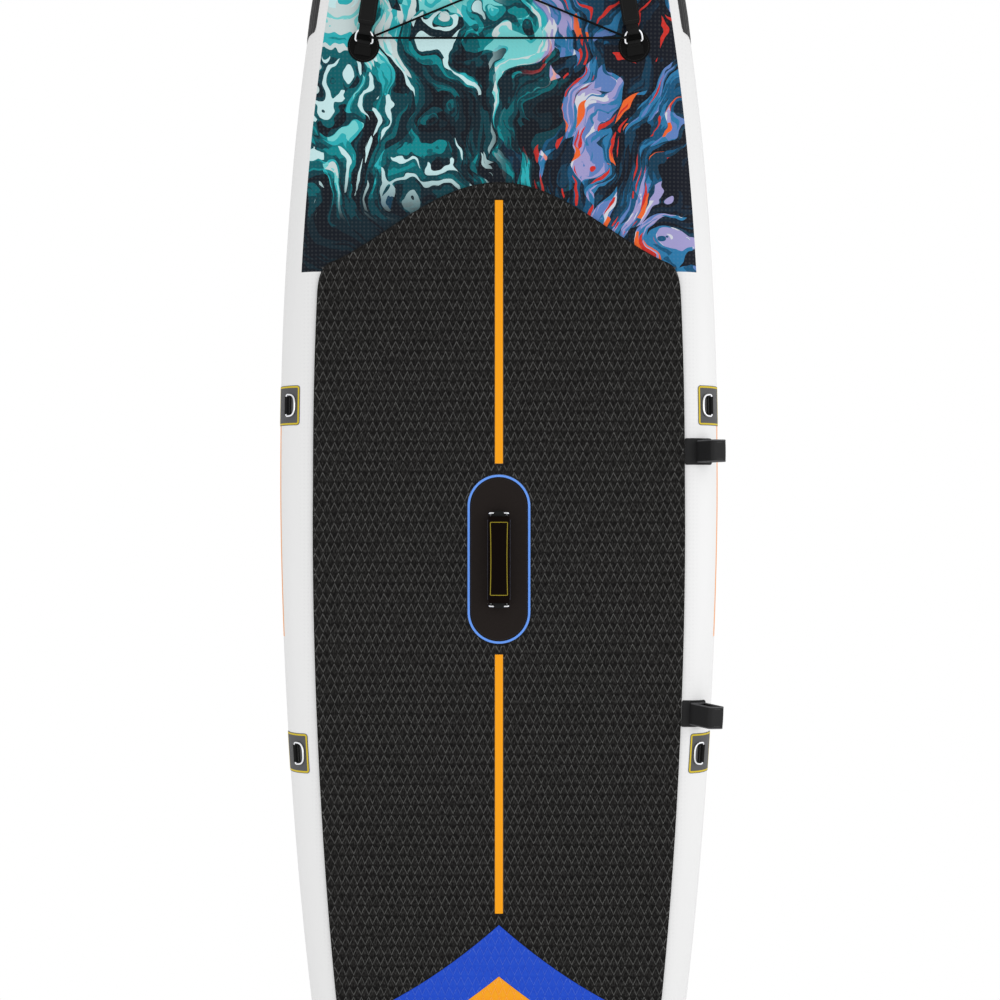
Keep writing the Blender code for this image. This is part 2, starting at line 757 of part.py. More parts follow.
opening_outline = stadium(HANDLE_PATCH_WIDTH + 2 * GAP, HANDLE_PATCH_LENGTH + 2 * GAP, HANDLE_Y)
opening = slab([opening_outline], DECK - GROOVE_BELOW, PAD_TOP + GROOVE_ABOVE)
combine(deck_pad, add("handle_opening", opening, BROWN), "DIFFERENCE")
border_outer = stadium(HANDLE_PATCH_WIDTH, HANDLE_PATCH_LENGTH, HANDLE_Y)
inner_width = HANDLE_PATCH_WIDTH - 2 * HANDLE_BORDER
inner_length = HANDLE_PATCH_LENGTH - 2 * HANDLE_BORDER
border_inner = stadium(inner_width, inner_length, HANDLE_Y)
add("handle_border", slab([border_outer, border_inner], DECK + GAP, PAD_TOP), BORDER)
patch_shape = stadium(inner_width - 2 * GAP, inner_length - 2 * GAP, HANDLE_Y)
handle_floor = DECK + GAP + HANDLE_PATCH_THICKNESS
handle_patch = add("handle_patch", slab([patch_shape], DECK + GAP, handle_floor), BROWN)

ring_lean = math.radians(HANDLE_RING_LEAN)
bar_height = handle_floor - SEWN + EYE_HEIGHT
top_height = bar_height + HANDLE_RING_RISE * math.cos(ring_lean)
foot_span = HANDLE_RING_SPAN / 2 - HANDLE_RING_RISE * math.sin(ring_lean)
half_ring = HANDLE_RING_WIDTH / 2
ring_path = arc((-half_ring + RING_CORNER, RING_CORNER), RING_CORNER, 180, 270, 3)
ring_path += arc((half_ring - RING_CORNER, RING_CORNER), RING_CORNER, 270, 360, 3)
ring_path += arc((half_ring - RING_CORNER, HANDLE_RING_RISE - RING_CORNER), RING_CORNER, 0, 90, 3)
ring_path += arc((-half_ring + RING_CORNER, HANDLE_RING_RISE - RING_CORNER), RING_CORNER, 90, 180, 3)
for name, end in (("front", 1), ("rear", -1)):
    foot = Vector((0, HANDLE_Y + end * foot_span, bar_height))
    up = Vector((0, end * math.sin(ring_lean), math.cos(ring_lean)))
    ring_place = frame(foot, up, Vector((0, -up.z, up.y)))
    add("handle_ring_" + name, wire_ring(ring_path, WIRE, WIRE_SIDES), STEEL, ring_place)
    base = frame(Vector((0, foot.y, handle_floor - SEWN)), Vector((0, -end, 0)), Vector((0, 0, 1)))
    anchor = add("handle_anchor_" + name, tab(HANDLE_RING_WIDTH, HANDLE_TAB_LENGTH), WEB, base)
    combine(handle_patch, anchor, "UNION")


def handle_line(y):
    share = (y - HANDLE_Y) / (HANDLE_RING_SPAN / 2)
    return (y, top_height + GRIP_ARCH * (1 - share**2))


def along_handle(length, shares):
    """Points on the handle's line over a length, at shares of its half on either side."""
    both = [-share for share in reversed(shares)] + [0, *shares]
    return [handle_line(HANDLE_Y + length / 2 * share) for share in both]


strap_eye = EYE + STRAP_WEBBING
strap_points = along_handle(HANDLE_RING_SPAN, (0.2, 0.45, 0.7, 0.9, 1))
strap_loop = strap_edge(strap_points, (strap_eye, strap_eye), STRAP_WEBBING)
strap_holes = [oval(strap_points[k], EYE, EYE, 10) for k in (0, -1)]
strap_half = HANDLE_STRAP_WIDTH / 2
add("handle_strap", slab([strap_loop, *strap_holes], -strap_half, strap_half, "X"), WEB)
grip_line = along_handle(GRIP_LENGTH, (0.25, 0.5, 0.75, 0.94, 1))
bore_height = 2 * (STRAP_WEBBING + BORE_GAP)
grip_bore = rounded(HANDLE_STRAP_WIDTH + 2 * BORE_GAP, bore_height, BORE_CORNER, steps=1)
grip_section = rounded(GRIP_WIDTH, GRIP_THICKNESS, GRIP_ROUND)
add("handle_grip", sleeve(grip_line, grip_section, grip_bore, GRIP_END_SCALE), NEOPRENE)

# Rings on the rails

for side_name, side in (("right", 1), ("left", -1)):
    for name, y in RAIL_RING_SPOTS.items():
        u = place_along(y)
        ends = [place_along(y + RAIL_PATCH_LENGTH * share) for share in (-0.5, -0.25, 0, 0.25, 0.5)]
        low, high = RAIL_PATCH_ANGLES
        angles = [low + (high - low) * k / 5 for k in range(6)]
        patch = bmesh.new()
        rows = []
        for k, end_u in enumerate(ends):
            trim = RAIL_PATCH_CORNER if k in (0, 4) else 0
            below = [rail_point(end_u, min(a, high - trim), GAP, side) for a in angles]
            above = [rail_point(end_u, min(a, high - trim), GAP + PATCH, side) for a in reversed(angles)]
            rows.append(loop(patch, below + above))
        wrap(patch, rows)
        patch.faces.new(rows[0])
        patch.faces.new(rows[-1])
        add(f"rail_patch_{side_name}_{name}", patch, GREY)
        seat = rail_frame(u, RAIL_RING_ANGLE, GAP + PATCH + GAP, side)
        add(f"rail_tab_{side_name}_{name}", tab(RAIL_RING_WIDTH, RAIL_TAB_LENGTH), WEB, seat)
        bar_radius = RAIL + GAP + PATCH + GAP + EYE_HEIGHT
        rest = math.acos((RAIL + GAP + PATCH + WIRE + GAP) / bar_radius)
        hinge = seat @ Matrix.Translation((0, 0, EYE_HEIGHT)) @ Matrix.Rotation(-rest, 4, "X")
        ring = wire_ring(d_path(RAIL_RING_WIDTH, RAIL_RING_DEPTH), WIRE, WIRE_SIDES)
        add(f"rail_ring_{side_name}_{name}", ring, STEEL, hinge)

# Patches with a ring on the deck


def deck_patch(name, x, y, heading, radius, ring_width, tab_length, bar_offset):
    """A round patch with a webbing tab sewn on. Returns the frame on its bar."""
    circle = [(x + px, y + py) for px, py in arc((0, 0), radius, 0, 345, 23)]
    bm = slab([circle], DECK + GAP, DECK + GAP + PATCH)
    drape(bm)
    patch = add(name, bm, WEB)
    top = deck_frame(x, y, heading, radius) @ Matrix.Translation((0, bar_offset, GAP + PATCH - SEWN))
    webbing = add(name + "_tab", tab(ring_width, tab_length), WEB, top @ Matrix.Rotation(math.pi, 4, "Z"))
    combine(patch, webbing, "UNION")
    return top @ Matrix.Translation((0, 0, EYE_HEIGHT))


for name, y, heading in (
    ("tow", NOSE_Y - TOW_RING_FROM_NOSE, (0, 1)),
    ("leash", TAIL_Y + LEASH_RING_FROM_TAIL, (0, -1)),
):
    bar = deck_patch(name + "_patch", 0, y, heading, END_PATCH_RADIUS, END_RING_WIDTH, END_TAB_LENGTH, 0)
    ring = wire_ring(d_path(END_RING_WIDTH, END_RING_DEPTH), WIRE, WIRE_SIDES)
    add(name + "_ring", ring, STEEL, bar)

# Cargo lashing: four rings, two padded straps and the bungee

lean = math.radians(CARGO_LEAN)
tilt = math.radians(CARGO_RING_TILT)
cargo_bars = {}
for side_name, side in (("right", 1), ("left", -1)):
    for row, end in (("rear", 1), ("front", -1)):
        shift = 0 if end == 1 else CARGO_RUN
        x = side * (CARGO_X - shift * math.tan(lean))
        heading = (-side * end * math.sin(lean), end * math.cos(lean))
        label = f"{side_name}_{row}"
        bar = deck_patch(
            "cargo_patch_" + label,
            x,
            CARGO_Y + shift,
            heading,
            CARGO_PATCH_RADIUS,
            CARGO_RING_WIDTH,
            CARGO_TAB_LENGTH,
            CARGO_BAR_OFFSET,
        )
        raised = bar @ Matrix.Rotation(tilt, 4, "X")
        cargo_bars[side, end] = raised
        ring = wire_ring(d_path(CARGO_RING_WIDTH, CARGO_RING_DEPTH), WIRE, WIRE_SIDES)
        add("cargo_ring_" + label, ring, STEEL, raised)

for side_name, side in (("right", 1), ("left", -1)):
    crests = [cargo_bars[side, end] @ Vector((0, CARGO_RING_DEPTH, 0)) for end in (1, -1)]
    along = (crests[1] - crests[0]).normalized()
    across = along.cross(Vector((0, 0, 1))).normalized()
    strap_frame = frame(crests[0], along, across.cross(along))
    run = (crests[1] - crests[0]).length
    shift, drop = CARGO_EYE_SHIFT
    stops = (shift, CARGO_EYE_LENGTH, run - CARGO_EYE_LENGTH, run - shift)
    ends = [(stop, drop) for stop in stops]
    eye_outside = (CARGO_EYE_REACH + STRAP_WEBBING, CARGO_EYE_HEIGHT + STRAP_WEBBING)
    edge = strap_edge(ends, eye_outside, STRAP_WEBBING)
    eyes = [oval(ends[k], CARGO_EYE_REACH, CARGO_EYE_HEIGHT) for k in (0, -1)]
    strap = slab([edge, *eyes], -CARGO_STRAP_WIDTH / 2, CARGO_STRAP_WIDTH / 2, "X")
    add("cargo_strap_" + side_name, strap, WEB, strap_frame)
    half = CARGO_SLEEVE_LENGTH / 2
    line = [(run / 2 + half * share, drop) for share in (-1, -0.92, -0.5, 0, 0.5, 0.92, 1)]
    section = rounded(CARGO_SLEEVE_WIDTH, CARGO_SLEEVE_THICKNESS, CARGO_SLEEVE_ROUND)
    bore = rounded(CARGO_STRAP_WIDTH + 2 * BORE_GAP, bore_height, BORE_CORNER, steps=1)
    padding = sleeve(line, section, bore, CARGO_SLEEVE_END_SCALE)
    add("cargo_sleeve_" + side_name, padding, NEOPRENE, strap_frame)


def hook_points(side, end, from_above):
    """The cord's turn round the inner leg of one ring, from one strand to the other."""
    bar = cargo_bars[side, end]
    towards = 1 if (bar.to_3x3() @ Vector((1, 0, 0))).x * side < 0 else -1
    rest = (CORD_HOOK - RING_CORNER) / (CARGO_RING_DEPTH - RING_CORNER)
    leg_x = CARGO_RING_WIDTH / 2 * (1 - rest**RING_FULLNESS) ** (1 / RING_FULLNESS)
    leg = Vector((towards * leg_x, CORD_HOOK, 0))
    reach = WIRE + CORD + CORD_CLEAR
    turns = [90 + 180 * k / 6 for k in range(7)]
    points = []
    for turn in turns if from_above else reversed(turns):
        angle = math.radians(turn)
        points.append(bar @ (leg + Vector((towards * reach * math.cos(angle), 0, reach * math.sin(angle)))))
    return points


def straight(start, end, count):
    return [start.lerp(end, k / (count + 1)) for k in range(1, count + 1)]


hooks = ((1, -1, True), (-1, 1, False), (1, 1, True), (-1, -1, False))
turns = [hook_points(*hook) for hook in hooks]
first, last = turns[0][0], turns[-1][-1]
middle = (first + last) / 2
half_join = (first - last).normalized() * GAP
cord_points = [middle + half_join] + straight(middle + half_join, first, 7)
for k, turn in enumerate(turns):
    cord_points += turn
    if k < 3:
        cord_points += straight(turn[-1], turns[k + 1][0], 8)
cord_points += straight(last, middle - half_join, 7) + [middle - half_join]
cord_data = bpy.data.curves.new("bungee_cord", "CURVE")
cord_data.dimensions = "3D"
cord_data.bevel_depth = CORD
cord_data.bevel_resolution = 1
cord_data.use_fill_caps = True
spline = cord_data.splines.new("POLY")
spline.points.add(len(cord_points) - 1)
for point, place in zip(spline.points, cord_points):
    point.co = (*place, 1)
cord_data.materials.append(CORD_BLACK)
bungee = bpy.data.objects.new("bungee_cord", cord_data)
bpy.context.scene.collection.objects.link(bungee)

cord_bore = CORD + 2 * GAP
half = FERRULE_LENGTH / 2
corners = ((0, -half), (FERRULE_WALL, -half), (FERRULE_WALL, half), (0, half))
tube = [(cord_bore + wall, end) for wall, end in corners]
level = (first - last).normalized()
side_way = level.cross(Vector((0, 0, 1))).normalized()
add("cord_ferrule", turned(tube, 12, closed=True), STEEL, frame(middle, side_way, level))

# Paddle holders on the right rail

for name, y in HOLDER_SPOTS.items():
    ends = [place_along(y + HOLDER_PATCH_LENGTH * share) for share in (-0.5, 0, 0.5)]
    reach = RAIL - pad_inset(y - HOLDER_PATCH_LENGTH / 2) + HOLDER_PATCH_PAD_GAP
    low = HOLDER_PATCH_LOW
    high = math.degrees(math.acos(reach / (RAIL + GAP + HOLDER_PATCH)))
    angles = [low + (high - low) * k / 6 for k in range(7)]
    patch = bmesh.new()
    rows = []
    for end_u in ends:
        below = [rail_point(end_u, a, GAP) for a in angles]
        above = [rail_point(end_u, a, GAP + HOLDER_PATCH) for a in reversed(angles)]
        rows.append(loop(patch, below + above))
    wrap(patch, rows)
    patch.faces.new(rows[0])
    patch.faces.new(rows[-1])
    add("paddle_holder_patch_" + name, patch, WEB)
    u = place_along(y)
    seat = RAIL + GAP + HOLDER_PATCH + GAP
    outer_foot, inner_foot = HOLDER_FOOT_ANGLES
    foot = arc((0, 0), seat, inner_foot, outer_foot, 5)
    inner_base = foot[0]
    outer_base = foot[-1]
    inner_wall = Vector(HOLDER_INNER_WALL[name])
    outer_wall = Vector(HOLDER_OUTER_WALL[name])
    inner_top = Vector(inner_base) + inner_wall
    outer_top = Vector(outer_base) + outer_wall
    ceiling = (outer_top - inner_top).normalized() * HOLDER_ROUND
    outer_side = outer_top - outer_wall.normalized() * HOLDER_ROUND
    inner_side = inner_top - inner_wall.normalized() * HOLDER_ROUND
    top = curve_between(outer_side, outer_top, outer_top - ceiling, 4)
    top += curve_between(inner_top + ceiling, inner_top, inner_side, 4)
    edge = foot + top
    hole = offset_loop(edge, HOLDER_WALL)
    bm = slab([[(x, z) for x, z in edge], hole], -HOLDER_LENGTH / 2, HOLDER_LENGTH / 2)
    rail_line = rail_point(u, 0, -RAIL)
    tangent = (outline(u + 1e-3) - outline(u - 1e-3)).normalized()
    b = Vector((0, 0, 1))
    n = -Vector((tangent.x, tangent.y, 0))
    add("paddle_holder_" + name, bm, WEB, frame(rail_line, b, n))

# Inflation valve

valve_y = TAIL_Y + VALVE_FROM_TAIL
valve_seat = deck_frame(0, valve_y, (0, 1), VALVE_FLANGE)


def rod(radius, low, high, sides):
    """A round bar on the Z axis."""
    return turned([(0, low), (radius, low), (radius, high), (0, high)], sides)


hole = rod(VALVE_TUBE + GAP, -VALVE_HOLE_REACH, VALVE_HOLE_REACH, 32)
valve_hole = add("valve_hole", hole, PLASTIC, valve_seat)
combine(deck_skin, valve_hole, "DIFFERENCE")
combine(air_chamber, valve_hole, "DIFFERENCE")

stem_bore = VALVE_STEM + GAP
web_low = -VALVE_WEB_DEPTH - VALVE_WEB
body_profile = [
    (VALVE_TUBE, GAP),
    (VALVE_FLANGE, GAP),
    (VALVE_FLANGE, VALVE_FLANGE_EDGE),
    (VALVE_FLANGE - VALVE_FLANGE_SLOPE, VALVE_FLANGE_HEIGHT),
    (VALVE_BORE, VALVE_FLANGE_HEIGHT),
    (VALVE_BORE, -VALVE_WEB_DEPTH),
    (stem_bore, -VALVE_WEB_DEPTH),
    (stem_bore, web_low),
    (VALVE_BORE, web_low),
    (VALVE_BORE, -VALVE_DEPTH),
    (VALVE_TUBE, -VALVE_DEPTH),
]
valve_body = add("valve_body", turned(body_profile, 20, closed=True), VALVE_GREY, valve_seat)
for k in range(4):
    air_hole = rod(VALVE_AIR_HOLE, -0.001 - VALVE_WEB, 0.001, 8)
    turn = Matrix.Rotation(math.pi / 2 * (k + 0.5), 4, "Z")
    place = valve_seat @ turn @ Matrix.Translation((VALVE_AIR_HOLE_X, 0, -VALVE_WEB_DEPTH))
    combine(valve_body, add(f"valve_air_hole_{k}", air_hole, PLASTIC, place), "DIFFERENCE")
hinge_height = VALVE_FLANGE_HEIGHT + 0.0012
pin_reach = VALVE_BARREL_WIDTH / 2 + GAP
lug_profile = [
    (VALVE_FLANGE - 0.0035, 0.0008),
    (VALVE_HINGE_REACH + VALVE_BARREL, 0.0008),
    (VALVE_HINGE_REACH + VALVE_BARREL, hinge_height),
    (VALVE_HINGE_REACH, hinge_height + VALVE_BARREL),
    (VALVE_HINGE_REACH - VALVE_BARREL, hinge_height),
    (VALVE_HINGE_REACH - VALVE_BARREL, 0.0030),
    (VALVE_FLANGE - 0.0035, 0.0030),
]
for k, end in enumerate((1, -1)):
    inside, outside = sorted((end * pin_reach, end * (pin_reach + VALVE_LUG_WIDTH)))
    lug = slab([lug_profile], inside, outside, "X")
    combine(valve_body, add(f"valve_lug_{k}", lug, PLASTIC, valve_seat), "UNION")
pin_end = pin_reach + VALVE_LUG_WIDTH / 2
pin = rod(VALVE_PIN, -pin_end, pin_end, 10)
along_x = Matrix.Translation((0, VALVE_HINGE_REACH, hinge_height)) @ Matrix.Rotation(math.pi / 2, 4, "Y")
combine(valve_body, add("valve_pin", pin, PLASTIC, valve_seat @ along_x), "UNION")

stem_profile = [
    (0, -0.0035),
    (0.0052, -0.0035),
    (0.0056, -0.0045),
    (VALVE_STEM, -0.0045),
    (VALVE_STEM, -VALVE_DEPTH - GAP),
    (VALVE_BORE + 0.0010, -VALVE_DEPTH - GAP),
    (VALVE_BORE + 0.0010, -VALVE_DEPTH - 0.0030),
    (0, -VALVE_DEPTH - 0.0036),
]
add("valve_stem", turned(stem_profile, 16), PLASTIC, valve_seat)

cap_low = VALVE_FLANGE_HEIGHT + GAP
plug = VALVE_BORE - 0.0006
cap_profile = [
    (0, cap_low - VALVE_PLUG_DEPTH),
    (plug, cap_low - VALVE_PLUG_DEPTH),
    (plug, cap_low),
    (VALVE_CAP, cap_low),
    (VALVE_CAP, cap_low + VALVE_CAP_HEIGHT - 0.0012),
    (VALVE_CAP - 0.0012, cap_low + VALVE_CAP_HEIGHT),
    (0, cap_low + VALVE_CAP_HEIGHT),
]
to_hinge = Matrix.Translation((0, -VALVE_HINGE_REACH, -hinge_height))
cap_bm = turned(cap_profile, 20)
bmesh.ops.transform(cap_bm, matrix=to_hinge, verts=cap_bm.verts)
hinge_frame = valve_seat @ Matrix.Translation((0, VALVE_HINGE_REACH, hinge_height))
valve_cap = add("valve_cap", cap_bm, PLASTIC, hinge_frame)
arm_level = cap_low - hinge_height
arm_low = arm_level + 0.0004
arm_high = arm_level + VALVE_BARREL
arm_start = VALVE_CAP - VALVE_HINGE_REACH - 0.002
arm_profile = [(arm_start, arm_low), (0, arm_low), (0, arm_high), (arm_start, arm_high)]
half_barrel = VALVE_BARREL_WIDTH / 2
arm = add("valve_arm", slab([arm_profile], -half_barrel, half_barrel, "X"), PLASTIC, hinge_frame)
barrel = rod(VALVE_BARREL, -half_barrel, half_barrel, 14)
barrel_hole = rod(VALVE_PIN + GAP, -VALVE_BARREL_WIDTH, VALVE_BARREL_WIDTH, 10)
combine(valve_cap, arm, "UNION")
combine(valve_cap, add("valve_barrel", barrel, PLASTIC, valve_seat @ along_x), "UNION")
combine(valve_cap, add("valve_barrel_hole", barrel_hole, PLASTIC, valve_seat @ along_x), "DIFFERENCE")

# Fin box and centre fin


def hull_frame(x, y, heading):
    """A frame on the hull's flat strips: Y along heading, Z square to the hull and upward."""
    step = 0.005
    slope = (rise(y + step) - rise(y - step)) / (2 * step)
    n = Vector((0, -slope, 1)).normalized()
    b = Vector((heading[0], heading[1], heading[1] * slope)).normalized()
    return frame(Vector((x, y, rise(y))), b, n)


def fin_blade(depth, chord, rake, thickness, start):
    """A raked blade with a foil section, hanging from Z = -start."""
    bm = bmesh.new()
    rows = []
    for share in (0, 0.12, 0.3, 0.48, 0.64, 0.78, 0.89, 0.97):
        lead = chord / 2 - rake * share**1.9
        width = chord * math.sqrt(1 - share**2.6)
        half = thickness * width / chord / 2
        row = []
        for c, bulge in ((0, 0), (0.06, 0.62), (0.25, 1), (0.5, 0.86), (0.8, 0.38), (1, 0.05)):
            row.append((half * bulge, lead - width * c))
        row += [(-x, y) for x, y in row[-1:0:-1]]
        rows.append(loop(bm, [(x, y, -start - (depth - start) * share) for x, y in row]))
    wrap(bm, rows)
    bm.faces.new(rows[0])
    bm.faces.new(rows[-1])
    return bm


def block(width, length, low, high, y=0.0, radius=0.0):
    """A bar from low to high, with rounded corners where a radius is given."""
    if radius:
        return slab([rounded(width, length, radius, (0, y))], low, high)
    corners = [(sx * width / 2, y + sy * length / 2) for sx, sy in ((1, 1), (-1, 1), (-1, -1), (1, -1))]
    return slab([corners], low, high)


fin_seat = hull_frame(0, TAIL_Y + FIN_BOX_FROM_TAIL, (0, 1))
box_bottom = -FIN_BOX_HEIGHT
flange = block(*FIN_BOX_FLANGE, -GAP - FIN_BOX_FLANGE_HEIGHT, -GAP, radius=FIN_BOX_FLANGE_ROUND)
fin_box = add("fin_box", flange, PLASTIC, fin_seat)
body = block(*FIN_BOX_BODY, box_bottom, -GAP - FIN_BOX_FLANGE_HEIGHT / 2, radius=FIN_BOX_BODY_ROUND)
combine(fin_box, add("fin_box_body", body, PLASTIC, fin_seat), "UNION")
slot = block(*FIN_SLOT, box_bottom - GROOVE_BELOW, -FIN_SLOT_ROOF)
combine(fin_box, add("fin_box_slot", slot, PLASTIC, fin_seat), "DIFFERENCE")
track_low = -FIN_SLOT_ROOF - FIN_TRACK_DEPTH
track = block(FIN_TRACK_WIDTH, FIN_SLOT[1], track_low, track_low + FIN_TRACK_HEIGHT)
combine(fin_box, add("fin_box_track", track, PLASTIC, fin_seat), "DIFFERENCE")

blade_start = FIN_BOX_HEIGHT + GAP
tab_width = FIN_SLOT[0] - 2 * FIN_SLIDE_GAP
blade = fin_blade(FIN_DEPTH + blade_start, FIN_CHORD, FIN_RAKE, FIN_THICKNESS, blade_start)
fin = add("centre_fin", blade, PLASTIC, fin_seat)
tab_top = -FIN_SLOT_ROOF - GAP
tab_length = FIN_TAB[1] - FIN_TAB[0]
tab_middle = sum(FIN_TAB) / 2
fin_tab = block(tab_width, tab_length, -blade_start - FIN_JOIN, tab_top, tab_middle)
combine(fin, add("fin_tab", fin_tab, PLASTIC, fin_seat), "UNION")
peg = FIN_TRACK_HEIGHT / 2 - FIN_SLIDE_GAP
peg_middle = track_low + FIN_TRACK_HEIGHT / 2
peg_half = FIN_TRACK_WIDTH / 2 - FIN_SLIDE_GAP
peg_centre = Matrix.Translation((0, FIN_TAB[0] + FIN_PEG_INSET, peg_middle))
peg_place = peg_centre @ Matrix.Rotation(math.pi / 2, 4, "Y")
combine(fin, add("fin_peg", rod(peg, -peg_half, peg_half, 12), PLASTIC, fin_seat @ peg_place), "UNION")
lug_top = track_low - GAP
lug_low = lug_top - FIN_LUG_THICKNESS
lug_length = FIN_LUG_END - FIN_TAB[1] + FIN_JOIN
lug = block(tab_width, lug_length, lug_low, lug_top, FIN_LUG_END - lug_length / 2)
combine(fin, add("fin_lug", lug, PLASTIC, fin_seat), "UNION")
screw_place = fin_seat @ Matrix.Translation((0, FIN_SCREW_Y, 0))
screw_bore = rod(FIN_SCREW + GAP, lug_low - FIN_LUG_THICKNESS, lug_top + FIN_LUG_THICKNESS, 12)
combine(fin, add("fin_screw_bore", screw_bore, PLASTIC, screw_place), "DIFFERENCE")
head, head_height = FIN_SCREW_HEAD
nut_low = track_low + GAP
nut_top = track_low + FIN_TRACK_HEIGHT - GAP
screw_profile = [
    (0, nut_low + 0.001),
    (FIN_SCREW, nut_low + 0.001),
    (FIN_SCREW, lug_low - GAP),
    (head, lug_low - GAP),
    (head, lug_low - GAP - head_height),
    (0, lug_low - GAP - head_height),
]
screw = add("fin_screw", turned(screw_profile, 12), STEEL, screw_place)
nut = add("fin_nut", block(2 * peg_half, FIN_NUT_LENGTH, nut_low, nut_top), STEEL, screw_place)
combine(screw, nut, "UNION")

# Side fins

for side_name, side in (("right", 1), ("left", -1)):
    toe = math.radians(SIDE_FIN_TOE)
    heading = (-side * math.sin(toe), math.cos(toe))
    seat = hull_frame(side * SIDE_FIN_X, TAIL_Y + SIDE_FIN_FROM_TAIL, heading)
    foot = slab([stadium(*SIDE_FIN_BASE, 0, 8)], -GAP - SIDE_FIN_BASE_HEIGHT, -GAP)
    base = add("side_fin_" + side_name, foot, PLASTIC, seat)
    start = GAP + SIDE_FIN_BASE_HEIGHT / 2
    blade = fin_blade(SIDE_FIN_DEPTH, SIDE_FIN_CHORD, SIDE_FIN_RAKE, SIDE_FIN_THICKNESS, start)
    combine(base, add(f"side_fin_{side_name}_blade", blade, PLASTIC, seat), "UNION")
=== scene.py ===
import math

import bmesh
import bpy
import numpy as np
from mathutils import Matrix, Vector


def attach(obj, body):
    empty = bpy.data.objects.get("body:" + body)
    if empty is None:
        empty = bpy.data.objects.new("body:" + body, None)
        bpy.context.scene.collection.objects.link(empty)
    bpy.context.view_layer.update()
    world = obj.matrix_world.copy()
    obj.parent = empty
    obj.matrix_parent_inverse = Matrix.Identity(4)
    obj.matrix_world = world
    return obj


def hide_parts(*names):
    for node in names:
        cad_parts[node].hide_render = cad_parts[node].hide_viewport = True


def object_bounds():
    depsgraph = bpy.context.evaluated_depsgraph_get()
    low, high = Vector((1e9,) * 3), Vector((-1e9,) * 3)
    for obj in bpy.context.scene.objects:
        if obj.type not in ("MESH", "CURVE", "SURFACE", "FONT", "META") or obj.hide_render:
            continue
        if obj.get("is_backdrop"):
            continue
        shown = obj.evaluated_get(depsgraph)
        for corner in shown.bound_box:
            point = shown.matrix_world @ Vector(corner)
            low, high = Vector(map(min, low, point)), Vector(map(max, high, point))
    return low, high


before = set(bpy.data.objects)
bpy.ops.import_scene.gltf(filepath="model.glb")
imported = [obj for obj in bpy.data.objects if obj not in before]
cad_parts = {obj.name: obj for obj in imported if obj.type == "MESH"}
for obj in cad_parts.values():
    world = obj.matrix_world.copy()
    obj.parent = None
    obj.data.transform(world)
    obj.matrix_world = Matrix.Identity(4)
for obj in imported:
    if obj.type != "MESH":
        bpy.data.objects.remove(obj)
cad_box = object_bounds()


# Camera, light and floor
# The camera looks straight down from above the middle of the board, with the nose up.
# The floor lies under the fins. It shows white, and nothing of it shows from below.

CAMERA = (0.002, 0.086, 2.742)
LENS = 50
WHITE = (1, 1, 1, 1)
SKY_STRENGTH = 0.78
LAMPS = {"key": ((2.3, 0.1, 1.6), 21), "fill": ((-2.7, -0.5, 1.6), 10)}
LAMP_SIZE = (1.4, 4.0)
LAMP_AIM = Vector((0, -0.3, 0))
FLOOR_DROP = 0.002
FLOOR_SIZE = 40.0
FLOOR_TONE = (0.86, 0.86, 0.86, 1)
FLOOR_ROUGHNESS = 0.9

scene = bpy.context.scene
scene.view_settings.view_transform = "Standard"


def add_node(tree, kind, inputs, **settings):
    """A shader node. Each input takes a value, a socket or a Number."""
    made = tree.nodes.new("ShaderNode" + kind)
    for name, value in settings.items():
        setattr(made, name, value)
    for key, value in inputs.items():
        value = getattr(value, "socket", value)
        if isinstance(value, bpy.types.NodeSocket):
            tree.links.new(value, made.inputs[key])
        else:
            made.inputs[key].default_value = value
    return made


def add_object(name, data):
    made = bpy.data.objects.new(name, data)
    scene.collection.objects.link(made)
    return made


scene.camera = add_object("camera", bpy.data.cameras.new("camera"))
scene.camera.data.lens = LENS
scene.camera.location = CAMERA

world = bpy.data.worlds.new("studio")
world.use_nodes = True
sky = world.node_tree
sky_light = sky.nodes["Background"]
sky_light.inputs["Color"].default_value = WHITE
sky_light.inputs["Strength"].default_value = SKY_STRENGTH
sky_seen = add_node(sky, "Background", {"Color": WHITE})
ray = add_node(sky, "LightPath", {}).outputs
seen = add_node(sky, "Math", {0: ray["Is Camera Ray"], 1: ray["Is Glossy Ray"]}, operation="MAXIMUM")
sky_mix = add_node(sky, "MixShader", {0: seen.outputs[0], 1: sky_light.outputs[0], 2: sky_seen.outputs[0]})
sky.links.new(sky_mix.outputs[0], sky.nodes["World Output"].inputs["Surface"])
scene.world = world

for name, (place, power) in LAMPS.items():
    lamp_data = bpy.data.lights.new(name, "AREA")
    lamp_data.shape = "RECTANGLE"
    lamp_data.size, lamp_data.size_y = LAMP_SIZE
    lamp_data.energy = power
    lamp = add_object(name, lamp_data)
    lamp.location = place
    lamp.rotation_euler = (LAMP_AIM - Vector(place)).to_track_quat("-Z", "Y").to_euler()

floor_mesh = bpy.data.meshes.new("floor")
floor_bm = bmesh.new()
bmesh.ops.create_grid(floor_bm, x_segments=1, y_segments=1, size=FLOOR_SIZE / 2)
bmesh.ops.translate(floor_bm, verts=floor_bm.verts, vec=(0, 0, cad_box[0][2] - FLOOR_DROP))
floor_bm.to_mesh(floor_mesh)
floor_bm.free()
add_object("floor", floor_mesh)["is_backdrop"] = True

floor_surface = bpy.data.materials.new("floor")
floor_surface.use_nodes = True
tree = floor_surface.node_tree
floor_shader = tree.nodes["Principled BSDF"]
floor_shader.inputs["Base Color"].default_value = FLOOR_TONE
floor_shader.inputs["Roughness"].default_value = FLOOR_ROUGHNESS
ray = add_node(tree, "LightPath", {}).outputs
glow = add_node(tree, "Emission", {})
clear = add_node(tree, "BsdfTransparent", {})
below = add_node(tree, "NewGeometry", {}).outputs["Backfacing"]
